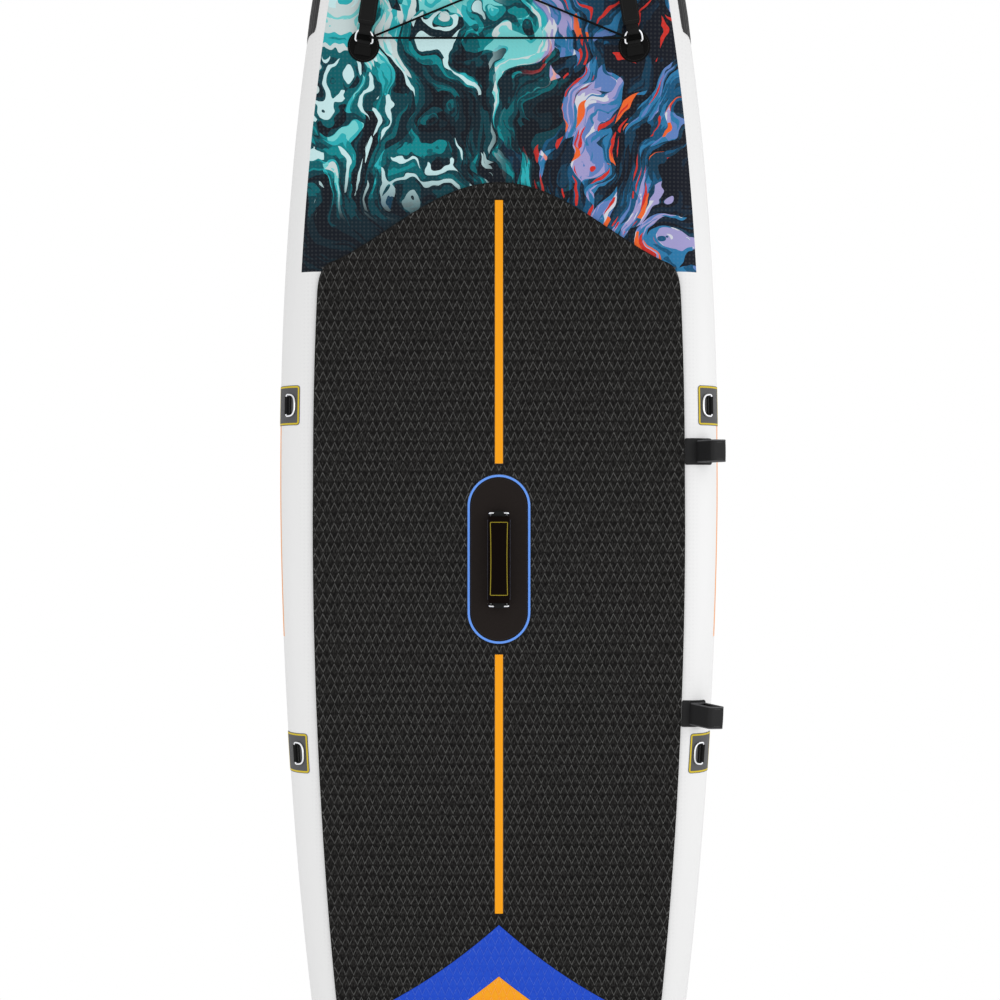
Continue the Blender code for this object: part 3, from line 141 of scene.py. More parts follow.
front = add_node(tree, "MixShader", {0: ray["Is Camera Ray"], 1: floor_shader.outputs[0], 2: glow.outputs[0]})
floor_mix = add_node(tree, "MixShader", {0: below, 1: front.outputs[0], 2: clear.outputs[0]})
tree.links.new(floor_mix.outputs[0], tree.nodes["Material Output"].inputs["Surface"])
floor_mesh.materials.append(floor_surface)


# Ways to write materials
# A Number is a value that varies over a surface, so that patterns are written as sums.
# Colours are given as they show on a screen, from 0 to 255.


class Number:
    def __init__(self, tree, socket):
        self.tree = tree
        self.socket = socket

    def maths(self, operation, *others):
        made = add_node(self.tree, "Math", dict(enumerate((self, *others))), operation=operation)
        return Number(self.tree, made.outputs[0])

    def __add__(self, other):
        return self.maths("ADD", other)

    def __sub__(self, other):
        return self.maths("SUBTRACT", other)

    def __mul__(self, other):
        return self.maths("MULTIPLY", other)

    def __truediv__(self, other):
        return self.maths("DIVIDE", other)

    def ramp(self, low, high):
        """0 below low, 1 above high, smooth between them."""
        limits = {"Value": self, "From Min": low, "From Max": high}
        made = add_node(self.tree, "MapRange", limits, interpolation_type="SMOOTHSTEP")
        return Number(self.tree, made.outputs[0])

    def wave(self, period):
        """Swings between 0 and 1 once in each period."""
        return (self * (2 * math.pi / period)).maths("SINE") * 0.5 + 0.5

    def cell(self, period):
        """Runs from -0.5 to 0.5 across each period."""
        return (self / period).maths("FRACT") - 0.5


def colour(shown):
    """A linear colour with full alpha."""
    shares = [value / 255 for value in shown]
    return (*(s / 12.92 if s <= 0.04045 else ((s + 0.055) / 1.055) ** 2.4 for s in shares), 1)


def separate(tree, vector):
    made = add_node(tree, "SeparateXYZ", {0: vector})
    return [Number(tree, output) for output in made.outputs]


def join(tree, *parts):
    return add_node(tree, "CombineXYZ", dict(enumerate(parts))).outputs[0]


def noise(tree, vector, scale, detail):
    """A cloudy value around 0.5."""
    made = add_node(tree, "TexNoise", {"Vector": vector, "Scale": scale, "Detail": detail})
    return Number(tree, made.outputs[0])


def blend(tree, share, first, second):
    """Mixes two colours. Each is a shown colour or a socket."""
    first, second = (colour(value) if isinstance(value, tuple) else value for value in (first, second))
    return add_node(tree, "Mix", {0: share, 6: first, 7: second}, data_type="RGBA").outputs[2]


def group(name, label, kind, build):
    """A node group from a vector to what build returns for it."""
    tree = bpy.data.node_groups.new(name, "ShaderNodeTree")
    tree.interface.new_socket("Vector", in_out="INPUT", socket_type="NodeSocketVector")
    tree.interface.new_socket(label, in_out="OUTPUT", socket_type=kind)
    start = tree.nodes.new("NodeGroupInput")
    end = tree.nodes.new("NodeGroupOutput")
    made = build(tree, start.outputs[0])
    tree.links.new(getattr(made, "socket", made), end.inputs[0])
    return tree


class Surface:
    """A material on one Principled shader, with its pattern nodes."""

    def __init__(self, name, base, roughness, metallic=0.0, specular=0.5):
        self.material = bpy.data.materials.new(name)
        self.material.use_nodes = True
        self.tree = self.material.node_tree
        self.inputs = self.tree.nodes["Principled BSDF"].inputs
        self.painted = base
        self.inputs["Base Color"].default_value = colour(base)
        self.inputs["Roughness"].default_value = roughness
        self.inputs["Metallic"].default_value = metallic
        self.inputs["Specular IOR Level"].default_value = specular
        coordinates = add_node(self.tree, "TexCoord", {})
        self.place = coordinates.outputs["Object"]
        self.uv = coordinates.outputs["UV"]

    def grain(self, scale, detail):
        return noise(self.tree, self.place, scale, detail)

    def use(self, made):
        """The output of a node group at each place of the surface."""
        return add_node(self.tree, "Group", {0: self.place}, node_tree=made).outputs[0]

    def paint(self, socket):
        self.tree.links.new(socket, self.inputs["Base Color"])
        self.painted = socket

    def tint(self, share, other):
        """Mixes another colour into the paint where share is near 1."""
        self.paint(blend(self.tree, share, self.painted, other))

    def rough(self, number):
        self.tree.links.new(number.socket, self.inputs["Roughness"])

    def bump(self, height, depth, strength):
        """Raises the surface by depth metres where height is 1."""
        relief = {"Strength": strength, "Distance": depth, "Height": height}
        if self.inputs["Normal"].is_linked:
            relief["Normal"] = self.inputs["Normal"].links[0].from_socket
        made = add_node(self.tree, "Bump", relief)
        self.tree.links.new(made.outputs[0], self.inputs["Normal"])


def grained(name, base, roughness, grain, bump, light=None, share=0.5, span=(0.4, 0.8), specular=0.5):
    """A material whose noise gives its relief and, where it rises through span, a lighter tint."""
    made = Surface(name, base, roughness, specular=specular)
    height = made.grain(*grain)
    made.bump(height, *bump)
    if light:
        made.tint(height.ramp(*span) * share, light)
    return made


# Ways to build pieces
# The board's outline and rails are one family of curves. Every piece on the board lies on them.

BOARD_LENGTH = 3.35
BOARD_WIDTH = 0.838
THICKNESS = 0.150
WIDE_POINT = 0.105
NOSE_FULLNESS = 2.28
TAIL_OVERRUN = 0.12
TAIL_FULLNESS = 1.70
TAIL_ROUNDNESS = 0.40
TAIL_CORNER = 0.15
NOSE_ROCKER = 0.17
NOSE_ROCKER_START = 0.45
NOSE_ROCKER_POWER = 2.2
TAIL_ROCKER = 0.030
TAIL_ROCKER_START = -0.95
TAIL_ROCKER_EASE = 0.20
RAIL = THICKNESS / 2
NOSE_Y = BOARD_LENGTH / 2
TAIL_Y = -BOARD_LENGTH / 2
GAP = 0.0003
UP = Vector((0, 0, 1))
SIDES = {"right": 1, "left": -1}
TINY = 1e-6


def spread(start, end, count):
    """Values from start to end in count even steps."""
    return [start + (end - start) * k / count for k in range(count + 1)]


def circle(steps):
    """The angles of points evenly round a circle."""
    return [2 * math.pi * k / steps for k in range(steps)]


def half_width(y):
    ahead = y - WIDE_POINT
    if ahead >= 0:
        share = ahead / (NOSE_Y - WIDE_POINT)
        return BOARD_WIDTH / 2 * math.sqrt(max(0, 1 - share**NOSE_FULLNESS))
    share = -ahead / (WIDE_POINT - TAIL_Y + TAIL_OVERRUN)
    side = BOARD_WIDTH / 2 * (1 - share**TAIL_FULLNESS) ** TAIL_ROUNDNESS
    corner = min(1, (y - TAIL_Y) / TAIL_CORNER)
    return side * math.sqrt(max(0, 1 - (1 - corner) ** 2))


def outline(u):
    """The right side of the outline, from the tail at u = -1 to the nose at u = 1."""
    reach = NOSE_Y - WIDE_POINT if u > 0 else WIDE_POINT - TAIL_Y
    y = WIDE_POINT + reach * math.sin(u * math.pi / 2)
    return Vector((half_width(y), y))


def u_at(y):
    """The u at which the outline reaches y."""
    reach = NOSE_Y - WIDE_POINT if y > WIDE_POINT else WIDE_POINT - TAIL_Y
    return math.asin((y - WIDE_POINT) / reach) * 2 / math.pi


def outward(u):
    if abs(u) > 1 - 1e-9:
        return Vector((0, math.copysign(1, u)))
    step = 1e-4
    along = outline(min(1, u + step)) - outline(max(-1, u - step))
    return Vector((along.y, -along.x)).normalized()


def place_along(y, inset=0.0):
    """The u at which the outline, moved inward by inset, reaches y."""
    low, high = -1.0, 1.0
    for _ in range(40):
        middle = (low + high) / 2
        if (outline(middle) - outward(middle) * inset).y < y:
            low = middle
        else:
            high = middle
    return (low + high) / 2


def rocker(y):
    """How far the board has risen towards its nose or tail."""
    ahead = y - NOSE_ROCKER_START
    behind = TAIL_ROCKER_START - y
    if ahead > 0:
        return NOSE_ROCKER * (ahead / (NOSE_Y - NOSE_ROCKER_START)) ** NOSE_ROCKER_POWER
    if behind <= 0:
        return 0.0
    slope = TAIL_ROCKER / (TAIL_ROCKER_START - TAIL_Y - TAIL_ROCKER_EASE / 2)
    if behind < TAIL_ROCKER_EASE:
        return slope * behind**2 / (2 * TAIL_ROCKER_EASE)
    return slope * (behind - TAIL_ROCKER_EASE / 2)


def rail_point(u, angle, out, side=1):
    """A point on the rail, angle degrees above its widest line and out beyond its surface."""
    turn = math.radians(angle)
    plan = outline(u) - outward(u) * (RAIL - (RAIL + out) * math.cos(turn))
    return Vector((side * plan.x, plan.y, RAIL + (RAIL + out) * math.sin(turn) + rocker(plan.y)))


def loop(bm, points):
    return [bm.verts.new(point) for point in points]


def wrap(bm, rows, around=True):
    """Faces between rows of vertices. around joins each row's end to its start."""
    made = []
    for low, high in zip(rows, rows[1:]):
        for i in range(len(low) if around else len(low) - 1):
            j = (i + 1) % len(low)
            made.append(bm.faces.new((low[i], low[j], high[j], high[i])))
    return made


def cut(bm, geometry, axis, place):
    """Cuts faces along a plane square to an axis."""
    normal = Vector((axis == 0, axis == 1, 0))
    bmesh.ops.bisect_plane(bm, geom=geometry, dist=TINY, plane_co=normal * place, plane_no=normal)


def cut_across(bm, axis, places):
    """Cuts a whole mesh along planes square to an axis, so that it can bend."""
    for place in places:
        cut(bm, bm.verts[:] + bm.edges[:] + bm.faces[:], axis, place)


def add_mesh(bm, extra, matrix=None):
    """Joins another mesh to this one."""
    if matrix is not None:
        bmesh.ops.transform(extra, matrix=matrix, verts=extra.verts)
    mesh = bpy.data.meshes.new("joined")
    extra.to_mesh(mesh)
    extra.free()
    bm.from_mesh(mesh)
    bpy.data.meshes.remove(mesh)


def piece(name, bm, surfaces, stands_for="", body="board", smooth=35, matrix=None, bevel=0.0):
    """Turns a bmesh into a piece that rides on a body and stands for a node of the frame."""
    if matrix is not None:
        bmesh.ops.transform(bm, matrix=matrix, verts=bm.verts)
    bmesh.ops.recalc_face_normals(bm, faces=bm.faces)
    if bm.calc_volume(signed=True) < 0:
        bmesh.ops.reverse_faces(bm, faces=bm.faces)
    mesh = bpy.data.meshes.new(name)
    bm.to_mesh(mesh)
    bm.free()
    for surface in surfaces:
        mesh.materials.append(surface.material)
    mesh.shade_smooth()
    mesh.set_sharp_from_angle(angle=math.radians(smooth))
    made = add_object(name, mesh)
    if bevel:
        change = made.modifiers.new("edges", "BEVEL")
        change.width = bevel
        change.segments = 2
        change.limit_method = "ANGLE"
        change.angle_limit = math.radians(40)
        change.harden_normals = True
    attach(made, body)
    if stands_for:
        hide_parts(stands_for)
    return made


def slab(outlines, low, high, axis="Z"):
    """A plate between two levels. The first outline is its edge, the others are its holes."""
    bm = bmesh.new()
    above = {}
    edges = []
    for points in outlines:
        bottom = loop(bm, [(p[0], p[1], low) for p in points])
        top = loop(bm, [(p[0], p[1], high) for p in points])
        above.update(zip(bottom, top))
        wrap(bm, [bottom, top])
        edges += [bm.edges.get(pair) for pair in zip(bottom, bottom[1:] + bottom[:1])]
    if len(outlines) == 1:
        caps = [bm.faces.new(list(above))]
    else:
        filled = bmesh.ops.triangle_fill(bm, use_beauty=True, edges=edges)["geom"]
        caps = [face for face in filled if isinstance(face, bmesh.types.BMFace)]
    for face in caps:
        bm.faces.new([above[v] for v in reversed(face.verts[:])])
    if axis == "X":
        for v in bm.verts:
            v.co = v.co.zxy
    return bm


def arc(centre, radius, start, end, steps):
    angles = [math.radians(angle) for angle in spread(start, end, steps)]
    return [(centre[0] + radius * math.cos(a), centre[1] + radius * math.sin(a)) for a in angles]


def rounded(width, length, radii, centre=(0, 0), steps=5):
    """A rectangle with rounded corners, anticlockwise from +X+Y. radii is one value or four."""
    points = []
    radii = radii if isinstance(radii, tuple) else (radii,) * 4
    for i, ((sx, sy), r) in enumerate(zip(((1, 1), (-1, 1), (-1, -1), (1, -1)), radii)):
        corner = (centre[0] + sx * (width / 2 - r), centre[1] + sy * (length / 2 - r))
        points += arc(corner, r, 90 * i, 90 * i + 90, steps)
    return points


def stadium(width, length, centre_y, steps):
    radius = width / 2
    reach = length / 2 - radius
    ahead = arc((0, centre_y + reach), radius, 0, 180, steps)
    return ahead + arc((0, centre_y - reach), radius, 180, 360, steps)


def curve_between(start, corner, end, steps):
    points = []
    for t in spread(0, 1, steps):
        weights = ((1 - t) ** 2, 2 * t * (1 - t), t**2)
        points.append(tuple(sum(w * p[k] for w, p in zip(weights, (start, corner, end))) for k in (0, 1)))
    return points


def between(start, end, steps):
    """Points on the way from start to end, both left out."""
    return [start.lerp(end, k / steps) for k in range(1, steps)]


def offset_loop(points, distance):
    """The loop moved inward by distance, for a loop that runs anticlockwise."""
    moved = []
    for i, (x, y) in enumerate(points):
        here = Vector((x, y))
        before = (here - Vector(points[i - 1])).normalized()
        after = (Vector(points[(i + 1) % len(points)]) - here).normalized()
        inward = Vector((-before.y - after.y, before.x + after.x)).normalized()
        stretch = 1 / max(0.4, inward.dot(Vector((-after.y, after.x))))
        moved.append(tuple(here + inward * distance * stretch))
    return moved


# Skins of the board
# White coated cloth in three parts: deck, rail and hull. The deck's and the hull's skins lap
# over the rail's with a thin step, and carry a fine grid of pressed dots where they are flat.

ROW_STEPS = 110
SEAM = 24
LAP = 0.0006
LAP_SOFT = 1.2
LAP_FADE = 30
DOT_PITCH = 0.0075
PRINT_EDGE = 62
PRINT_END = 0.512
PRINT_SLACK = 0.0008
SKIN_ANGLES = (SEAM + LAP_SOFT, 30, 36, 42, 48, 54, PRINT_EDGE, 66, 71, 76, 81, 86, 90)
BAR_ENDS = (-0.172, 0.228)
BAR_ANGLES = (9, 22)
BAR_LINE = (5.5, 9)
BAR_SLACK = 0.002
RAIL_ANGLES = (-SEAM, -19, -13, -7, -1, *BAR_LINE, 15.5, BAR_ANGLES[1], SEAM)
VALVE_Y = TAIL_Y + 0.200
VALVE_TUBE = 0.0175
HOLE_MARGIN = 0.003
PAINT_CENTRE = 0.30
STROKES = ((11.0, 8.5, 0.0), (27.0, 19.0, 3.1), (62.0, 30.0, 7.7))
LEVELS = (0.0, 0.10, 0.22, 0.36, 0.46, 0.55, 0.64, 0.74)
TEALS = (
    *((10, 18, 28), (12, 34, 44), (8, 62, 72), (4, 96, 104)),
    *((8, 136, 142), (44, 178, 186), (120, 214, 214), (206, 222, 222)),
)
BLUES = (
    *((12, 18, 30), (14, 34, 52), (16, 58, 82), (20, 84, 122)),
    *((44, 122, 170), (96, 130, 192), (164, 158, 208), (212, 216, 226)),
)
COATED_GRAIN = ((26, 3), (0.0006, 0.18))


def build_dots(tree, vector):
    x, y, _ = separate(tree, vector)
    across, along = x.cell(DOT_PITCH), y.cell(DOT_PITCH)
    return (across * across + along * along).maths("SQRT").ramp(0.36, 0.16)


def palette(tree, light, shades):
    """Flat steps of colour from dark to light."""
    made = add_node(tree, "ValToRGB", {0: light})
    made.color_ramp.interpolation = "CONSTANT"
    points = made.color_ramp.elements
    while len(points) < len(shades):
        points.new(0.5)
    for point, level, shown in zip(points, LEVELS, shades):
        point.position = level
        point.color = colour(shown)
    return made.outputs[0]


def build_painting(tree, vector):
    """Spray and swell in loose strokes that fan out from behind the deck pad."""
    x, y, _ = separate(tree, vector)
    bend = noise(tree, vector, 4.2, 2) - 0.5
    curl = noise(tree, join(tree, y, x, 0.7), 7.5, 3) - 0.5
    ahead = y - PAINT_CENTRE
    turn = x.maths("ARCTAN2", ahead) + bend * 0.85 + curl * 0.25
    reach = (x * x + ahead * ahead).maths("SQRT") + curl * 0.16
    dabs = []
    for around, along, seed in STROKES:
        place = join(tree, turn * around, reach * along, seed)
        cells = add_node(tree, "TexVoronoi", {"Vector": place, "Scale": 1})
        dabs.append(separate(tree, cells.outputs["Color"]))
    big, small, tiny = dabs
    shade = (big[0] - 0.5) * 0.62 + (small[0] - 0.5) * 0.36 + (tiny[0] - 0.5) * 0.12
    edge = (x.maths("ABSOLUTE") - 0.02).ramp(0.0, 0.30)
    left = x.ramp(0.10, -0.14)
    glow = x.ramp(-0.14, -0.02) * x.ramp(0.24, 0.12)
    corner = x.ramp(0.16, 0.28) * y.ramp(0.74, 0.60)
    light = edge * left * 0.26 + glow * 0.20 + corner * 0.26 + y.ramp(0.45, 1.05) * 0.14 + shade * 1.15 + 0.11
    light = light * (left * y.ramp(0.74, 0.58) * -0.72 + 1.0)
    right = (x + (big[1] - 0.5) * 0.26 + bend * 0.5).ramp(0.036, 0.044)
    hot = small[1].ramp(0.88, 0.885) * (x + bend * 0.3).ramp(0.05, 0.12) * big[0].ramp(0.40, 0.41)
    ember = tiny[1].ramp(0.935, 0.94) * (x + bend * 0.3).ramp(0.02, 0.10)
    spark = tiny[1].ramp(0.10, 0.095) * x.ramp(0.02, -0.06) * y.ramp(0.60, 0.72)
    mixed = blend(tree, right, palette(tree, light, TEALS), palette(tree, light, BLUES))
    for share, shown in ((hot, (240, 104, 44)), (ember, (206, 48, 40)), (spark, (204, 238, 240))):
        mixed = blend(tree, share, mixed, shown)
    return mixed


dots = group("raised_dots", "Height", "NodeSocketFloat", build_dots)
painting = group("spray_painting", "Color", "NodeSocketColor", build_painting)


def white_cloth(name):
    made = grained(name, (240, 240, 240), 0.36, *COATED_GRAIN)
    made.rough(made.grain(14, 3).ramp(0.2, 0.9) * 0.12 + 0.34)
    return made


white_rail = white_cloth("white_pvc_rail")
white = white_cloth("white_pvc")
level = (separate(white.tree, white.place)[2] - RAIL).maths("ABSOLUTE")
white_dot = Number(white.tree, white.use(dots)) * level.ramp(RAIL - 0.0075, RAIL - 0.0030)
white.tint(white_dot * 0.08, (196, 196, 198))
white.bump(white_dot, 0.00012, 0.5)
bar_orange = grained("rail_bar_orange", (250, 160, 70), 0.38, *COATED_GRAIN)
bar_blue = grained("rail_line_blue", (60, 104, 214), 0.38, *COATED_GRAIN)
printed = Surface("printed_pvc", (20, 60, 90), 0.46, specular=0.12)
printed.paint(printed.use(painting))
print_dot = Number(printed.tree, printed.use(dots))
printed.tint(print_dot * 0.035, (190, 194, 194))
printed.bump(print_dot, 0.00020, 0.6)


def board_row(bm, angle, out, extra=()):
    spots = sorted({*spread(1, -1, 2 * ROW_STEPS), *extra}, reverse=True)
    right = [rail_point(u, angle, out) for u in spots]
    return loop(bm, right + [Vector((-p.x, p.y, p.z)) for p in right[-2:0:-1]])


def cut_valve_hole(bm):
    """A round hole in the flat of the deck for the valve's tube."""
    half = VALVE_TUBE + HOLE_MARGIN
    for axis, place in ((0, -half), (0, half), (1, VALVE_Y - half), (1, VALVE_Y + half)):
        near = [f for f in bm.faces if abs(f.calc_center_median().y - VALVE_Y) < 4 * half]
        corners = [v for f in near for v in f.verts]
        cut(bm, list(dict.fromkeys(near + [e for f in near for e in f.edges] + corners)), axis, place)
    limit = half + 10 * TINY
    inside = [f for f in bm.faces if all(max(abs(v.co.x), abs(v.co.y - VALVE_Y)) < limit for v in f.verts)]
    known = set(inside)
    rim = [e for e in dict.fromkeys(e for f in inside for e in f.edges) if not known.issuperset(e.link_faces)]
    bmesh.ops.delete(bm, geom=inside, context="FACES")
    edge = arc((0, VALVE_Y), VALVE_TUBE + GAP, 0, 352.5, 47)
    hole = loop(bm, [(x, y, THICKNESS + rocker(y)) for x, y in edge])
    edges = [bm.edges.new(pair) for pair in zip(hole, hole[1:] + hole[:1])]
    bmesh.ops.bridge_loops(bm, edges=rim + edges)


def board_skin(name, direction, surfaces):
    bm = bmesh.new()
    rows = [board_row(bm, direction * SEAM, out) for out in (-LAP, LAP)]
    for angle in SKIN_ANGLES:
        rows.append(board_row(bm, direction * angle, LAP * min(1, (90 - angle) / LAP_FADE)))
    wrap(bm, rows)
    row = rows[-1]
    for k in range(len(row) // 2):
        corners = (row[k], row[k + 1], row[(-k - 1) % len(row)], row[-k % len(row)])
        bm.faces.new(tuple(dict.fromkeys(corners)))
    if direction > 0:
        cut_across(bm, 1, [PRINT_END])
        print_height = RAIL + RAIL * math.sin(math.radians(PRINT_EDGE)) - PRINT_SLACK
        for face in bm.faces:
            lowest = min(v.co.z - rocker(v.co.y) for v in face.verts)
            if face.calc_center_median().y > PRINT_END and lowest > print_height:
                face.material_index = 1
        cut_valve_hole(bm)
    piece(name, bm, surfaces, name + "_skin", smooth=50)


board_skin("deck", 1, [white, printed])
board_skin("hull", -1, [white])

rail = bmesh.new()
bar_spots = [place_along(y) for y in BAR_ENDS]
rows = [board_row(rail, angle, 0, bar_spots) for angle in RAIL_ANGLES]
for k, angles in enumerate(zip(RAIL_ANGLES, RAIL_ANGLES[1:])):
    on_bar = BAR_ANGLES[0] <= angles[0] and angles[1] <= BAR_ANGLES[1]
    index = 2 if angles == BAR_LINE else int(on_bar)
    for face in wrap(rail, rows[k : k + 2]):
        ys = [v.co.y for v in face.verts]
        if min(ys) > BAR_ENDS[0] - BAR_SLACK and max(ys) < BAR_ENDS[1] + BAR_SLACK:
            face.material_index = index
piece("rail", rail, [white_rail, bar_orange, bar_blue], "rail_wall", smooth=60)


# Cloth, metal and plastic
# Surfaces that several pieces share. Webbing takes its weave from UV lengths in metres, across
# and along the band.

WEBBING_THREAD = 0.0016

steel = Surface("polished_steel", (226, 227, 230), 0.14, metallic=1.0)
steel.rough(steel.grain(300, 3) * 0.16 + 0.06)
plastic = grained("black_plastic", (30, 30, 32), 0.42, (1400, 2), (0.00006, 0.5))
thread_black = grained("black_thread", (28, 28, 28), 0.7, (4000, 1), (0.0001, 0.5))
thread_grey = grained("grey_thread", (84, 84, 84), 0.7, (4000, 1), (0.0001, 0.5))

webbing = Surface("black_webbing", (15, 15, 15), 0.82, specular=0.12)
across, along, _ = separate(webbing.tree, webbing.uv)
rib = along.wave(WEBBING_THREAD)
weft = (across + rib * (WEBBING_THREAD / 4)).wave(WEBBING_THREAD * 1.4)
fuzz = noise(webbing.tree, webbing.uv, 2400, 2)
webbing.tint((rib * weft + fuzz * 0.5) * 0.7, (38, 38, 38))
webbing.bump(rib * 0.6 + weft * 0.5 + fuzz * 0.4, 0.00022, 0.8)


# Shapes that several fittings share
# Sleeves, bands and wires run through rows of points. Their UV holds lengths in metres, so
# that the weave keeps its scale round every bend.

WIRE = 0.0020
EYE = 0.00250
WEBBING = 0.0009
STRAP_WEBBING = 0.0015
PATCH = 0.0010
RING_CORNER = 0.003
RING_FULLNESS = 3.0
RING_STEPS = 40
TAB_PLAY = 0.0005
TAB_STEP = 0.006
TAB_BOX = (0.014, 0.009, 0.0005)
SEWN = 0.0004
EYE_HEIGHT = EYE + WEBBING
TIGHT = 0.9
BAND_RIM = 0.25
STITCH_SHAPE = ((-0.04, 0.35, -0.3), (0.12, 0.9, 0), (0.5, 1, 0.3), (0.88, 0.9, 0), (1.04, 0.35, -0.3))
BOX_STITCH = (0.0028, 0.0020, 0.00028)
EDGE_STITCH = (0.0036, 0.0026, 0.00028)


def board_frame(origin, b, n):
    """A matrix whose Y is b and whose Z is n."""
    columns = Matrix((b.cross(n), b, n)).transposed().to_4x4()
    columns.translation = origin
    return columns


def deck_frame(x, y, heading, level=THICKNESS, reach=0.03):
    """A frame on the deck or at another level: Y along heading in plan, Z square to the board."""
    slope = (rocker(y + reach) - rocker(y - reach)) / (2 * reach)
    n = Vector((0, -slope, 1)).normalized()
    b = Vector((heading[0], heading[1], heading[1] * slope)).normalized()
    return board_frame(Vector((x, y, level + rocker(y))), b, n)


def rail_frame(u, angle, out, side):
    """A frame on the rail: Y runs up the rail to the deck, Z points out of the rail."""
    step = 0.01
    here = rail_point(u, angle, out, side)
    n = (rail_point(u, angle, out + step, side) - here).normalized()
    up = rail_point(u, angle + step, out, side) - here
    return board_frame(here, (up - n * up.dot(n)).normalized(), n)


def directions(path, closed=False):
    """The direction in which a path runs at each of its points."""
    ahead = path[1:] + (path[:1] if closed else path[-1:])
    behind = (path[-1:] if closed else path[:1]) + path[:-1]
    return [(after - before).normalized() for before, after in zip(behind, ahead)]


def strip(rows, closed=False, bm=None, index=0):
    """A closed skin through rows of points that each run round, with UV in metres."""
    bm = bm or bmesh.new()
    layer = bm.loops.layers.uv.verify()
    rows = [[Vector(p) for p in row] for row in rows]
    made = [loop(bm, row) for row in rows]
    count = len(rows[0])
    following = list(range(1, len(rows))) + ([0] if closed else [])
    middles = [sum(row, Vector()) / count for row in rows]
    along = 0.0
    for k, after in enumerate(following):
        step = (middles[after] - middles[k]).length
        across = 0.0
        for i in range(count):
            j = (i + 1) % count
            width = (rows[k][j] - rows[k][i]).length
            face = bm.faces.new((made[k][i], made[k][j], made[after][j], made[after][i]))
            face.material_index = index
            for corner, uv in zip(face.loops, ((0, 0), (1, 0), (1, 1), (0, 1))):
                corner[layer].uv = (across + uv[0] * width, along + uv[1] * step)
            across += width
        along += step
    if not closed:
        for row in (made[0][::-1], made[-1]):
            bm.faces.new(row).material_index = index
    return bm


def band(path, width, thickness):
    """A flat band in the YZ plane along path. Its width lies along X."""
    path = [Vector((0, *p)) for p in path]
    w, h, rim = width / 2, thickness / 2, thickness * BAND_RIM
    section = [(-w, rim - h), (-w, h - rim), (rim - w, h), (w - rim, h)]
    section += [(w, h - rim), (w, rim - h), (w - rim, -h), (rim - w, -h)]
    rows = []
    for here, along in zip(path, directions(path)):
        out = Vector((0, -along.z, along.y))
        rows.append([here + Vector((x, 0, 0)) + out * z for x, z in section])
    return strip(rows)


def wire(path, radius, sides=14, closed=True, bm=None, index=0):
    """A round wire along a path of 3-D points."""
    path = [Vector(p) for p in path]
    rows = []
    normal = None
    for here, along in zip(path, directions(path, closed)):
        normal = normal or along.orthogonal().normalized()
        normal = (normal - along * normal.dot(along)).normalized()
        across = along.cross(normal)
        rows.append([here + (normal * math.cos(t) + across * math.sin(t)) * radius for t in circle(sides)])
    if closed:
        for k in range(len(path) - 1, 0, -1):
            target = rows[(k + 1) % len(path)][0]
            shift = min(range(sides), key=lambda s: (rows[k][s] - target).length)
            rows[k] = rows[k][shift:] + rows[k][:shift]
    return strip(rows, closed, bm, index)


def d_path(width, depth):
    """The middle line of a D-ring: its bar on the X axis, its arch towards +Y."""
    half = width / 2
    points = arc((RING_CORNER - half, RING_CORNER), RING_CORNER, 180, 270, 6)
    points += arc((half - RING_CORNER, RING_CORNER), RING_CORNER, 270, 360, 6)
    for turn in spread(0, math.pi, RING_STEPS)[1:-1]:
        x = half * math.copysign(abs(math.cos(turn)) ** (2 / RING_FULLNESS), math.cos(turn))
        points.append((x, RING_CORNER + (depth - RING_CORNER) * math.sin(turn) ** (2 / RING_FULLNESS)))
    return [(x, y, 0) for x, y in points]


def steel_ring(name, path, stands_for, matrix, body="board"):
    made = wire(path, WIRE)
    piece(name, made, [steel], stands_for, body, 60, matrix)


def folded_tab(ring_width, length):
    """Webbing folded round a ring's bar along X, its sewn end towards +Y on the plane Z = 0."""
    width = ring_width - 2 * RING_CORNER - 2 * TAB_PLAY
    middle = (EYE + EYE_HEIGHT) / 2
    start = math.degrees(math.asin((1.5 * WEBBING - EYE_HEIGHT) / middle))
    over = arc((0, EYE_HEIGHT), middle, start, 270, 22)
    top = [(length - TAB_STEP * k, 1.5 * WEBBING) for k in range(int((length - 0.004) / TAB_STEP) + 1)]
    under = [(TAB_STEP * k, WEBBING / 2) for k in range(1, int(length / TAB_STEP))]
    return band([*top, *over, *under, (length, WEBBING / 2)], width, WEBBING * 0.94)


def stitches(bm, points, style, index=1, closed=False):
    """A row of thread stitches along a line. A style is their pitch, length and thickness."""
    pitch, length, radius = style
    points = [Vector(p) for p in points]
    if closed:
        points.append(points[0])
    total = sum((b - a).length for a, b in zip(points, points[1:]))
    count = max(1, round(total / pitch))
    pitch = total / count
    for k in range(count):
        ends = []
        for target in (pitch * (k + 0.5) - length / 2, pitch * (k + 0.5) + length / 2):
            for a, b in zip(points, points[1:]):
                step = (b - a).length
                if target <= step or b is points[-1]:
                    ends.append(a.lerp(b, min(1, max(0, target / max(step, 1e-9)))))
                    break
                target -= step
        a, b = ends
        along = b - a
        side = along.cross(UP).normalized()
        rows = []
        for share, scale, rise in STITCH_SHAPE:
            middle = a + along * share + UP * radius * rise
            rows.append([middle + (side * math.cos(t) + UP * math.sin(t)) * radius * scale for t in circle(6)])
        strip(rows, bm=bm, index=index)


def boxed_tab(ring_width, length, middle):
    """A folded tab with a box of stitches round its middle."""
    tab = folded_tab(ring_width, length)
    box = rounded(ring_width - TAB_BOX[0], length - TAB_BOX[1], TAB_BOX[2], (0, middle), 1)
    stitches(tab, [(x, y, 2 * WEBBING) for x, y in box], BOX_STITCH, closed=True)
    return tab


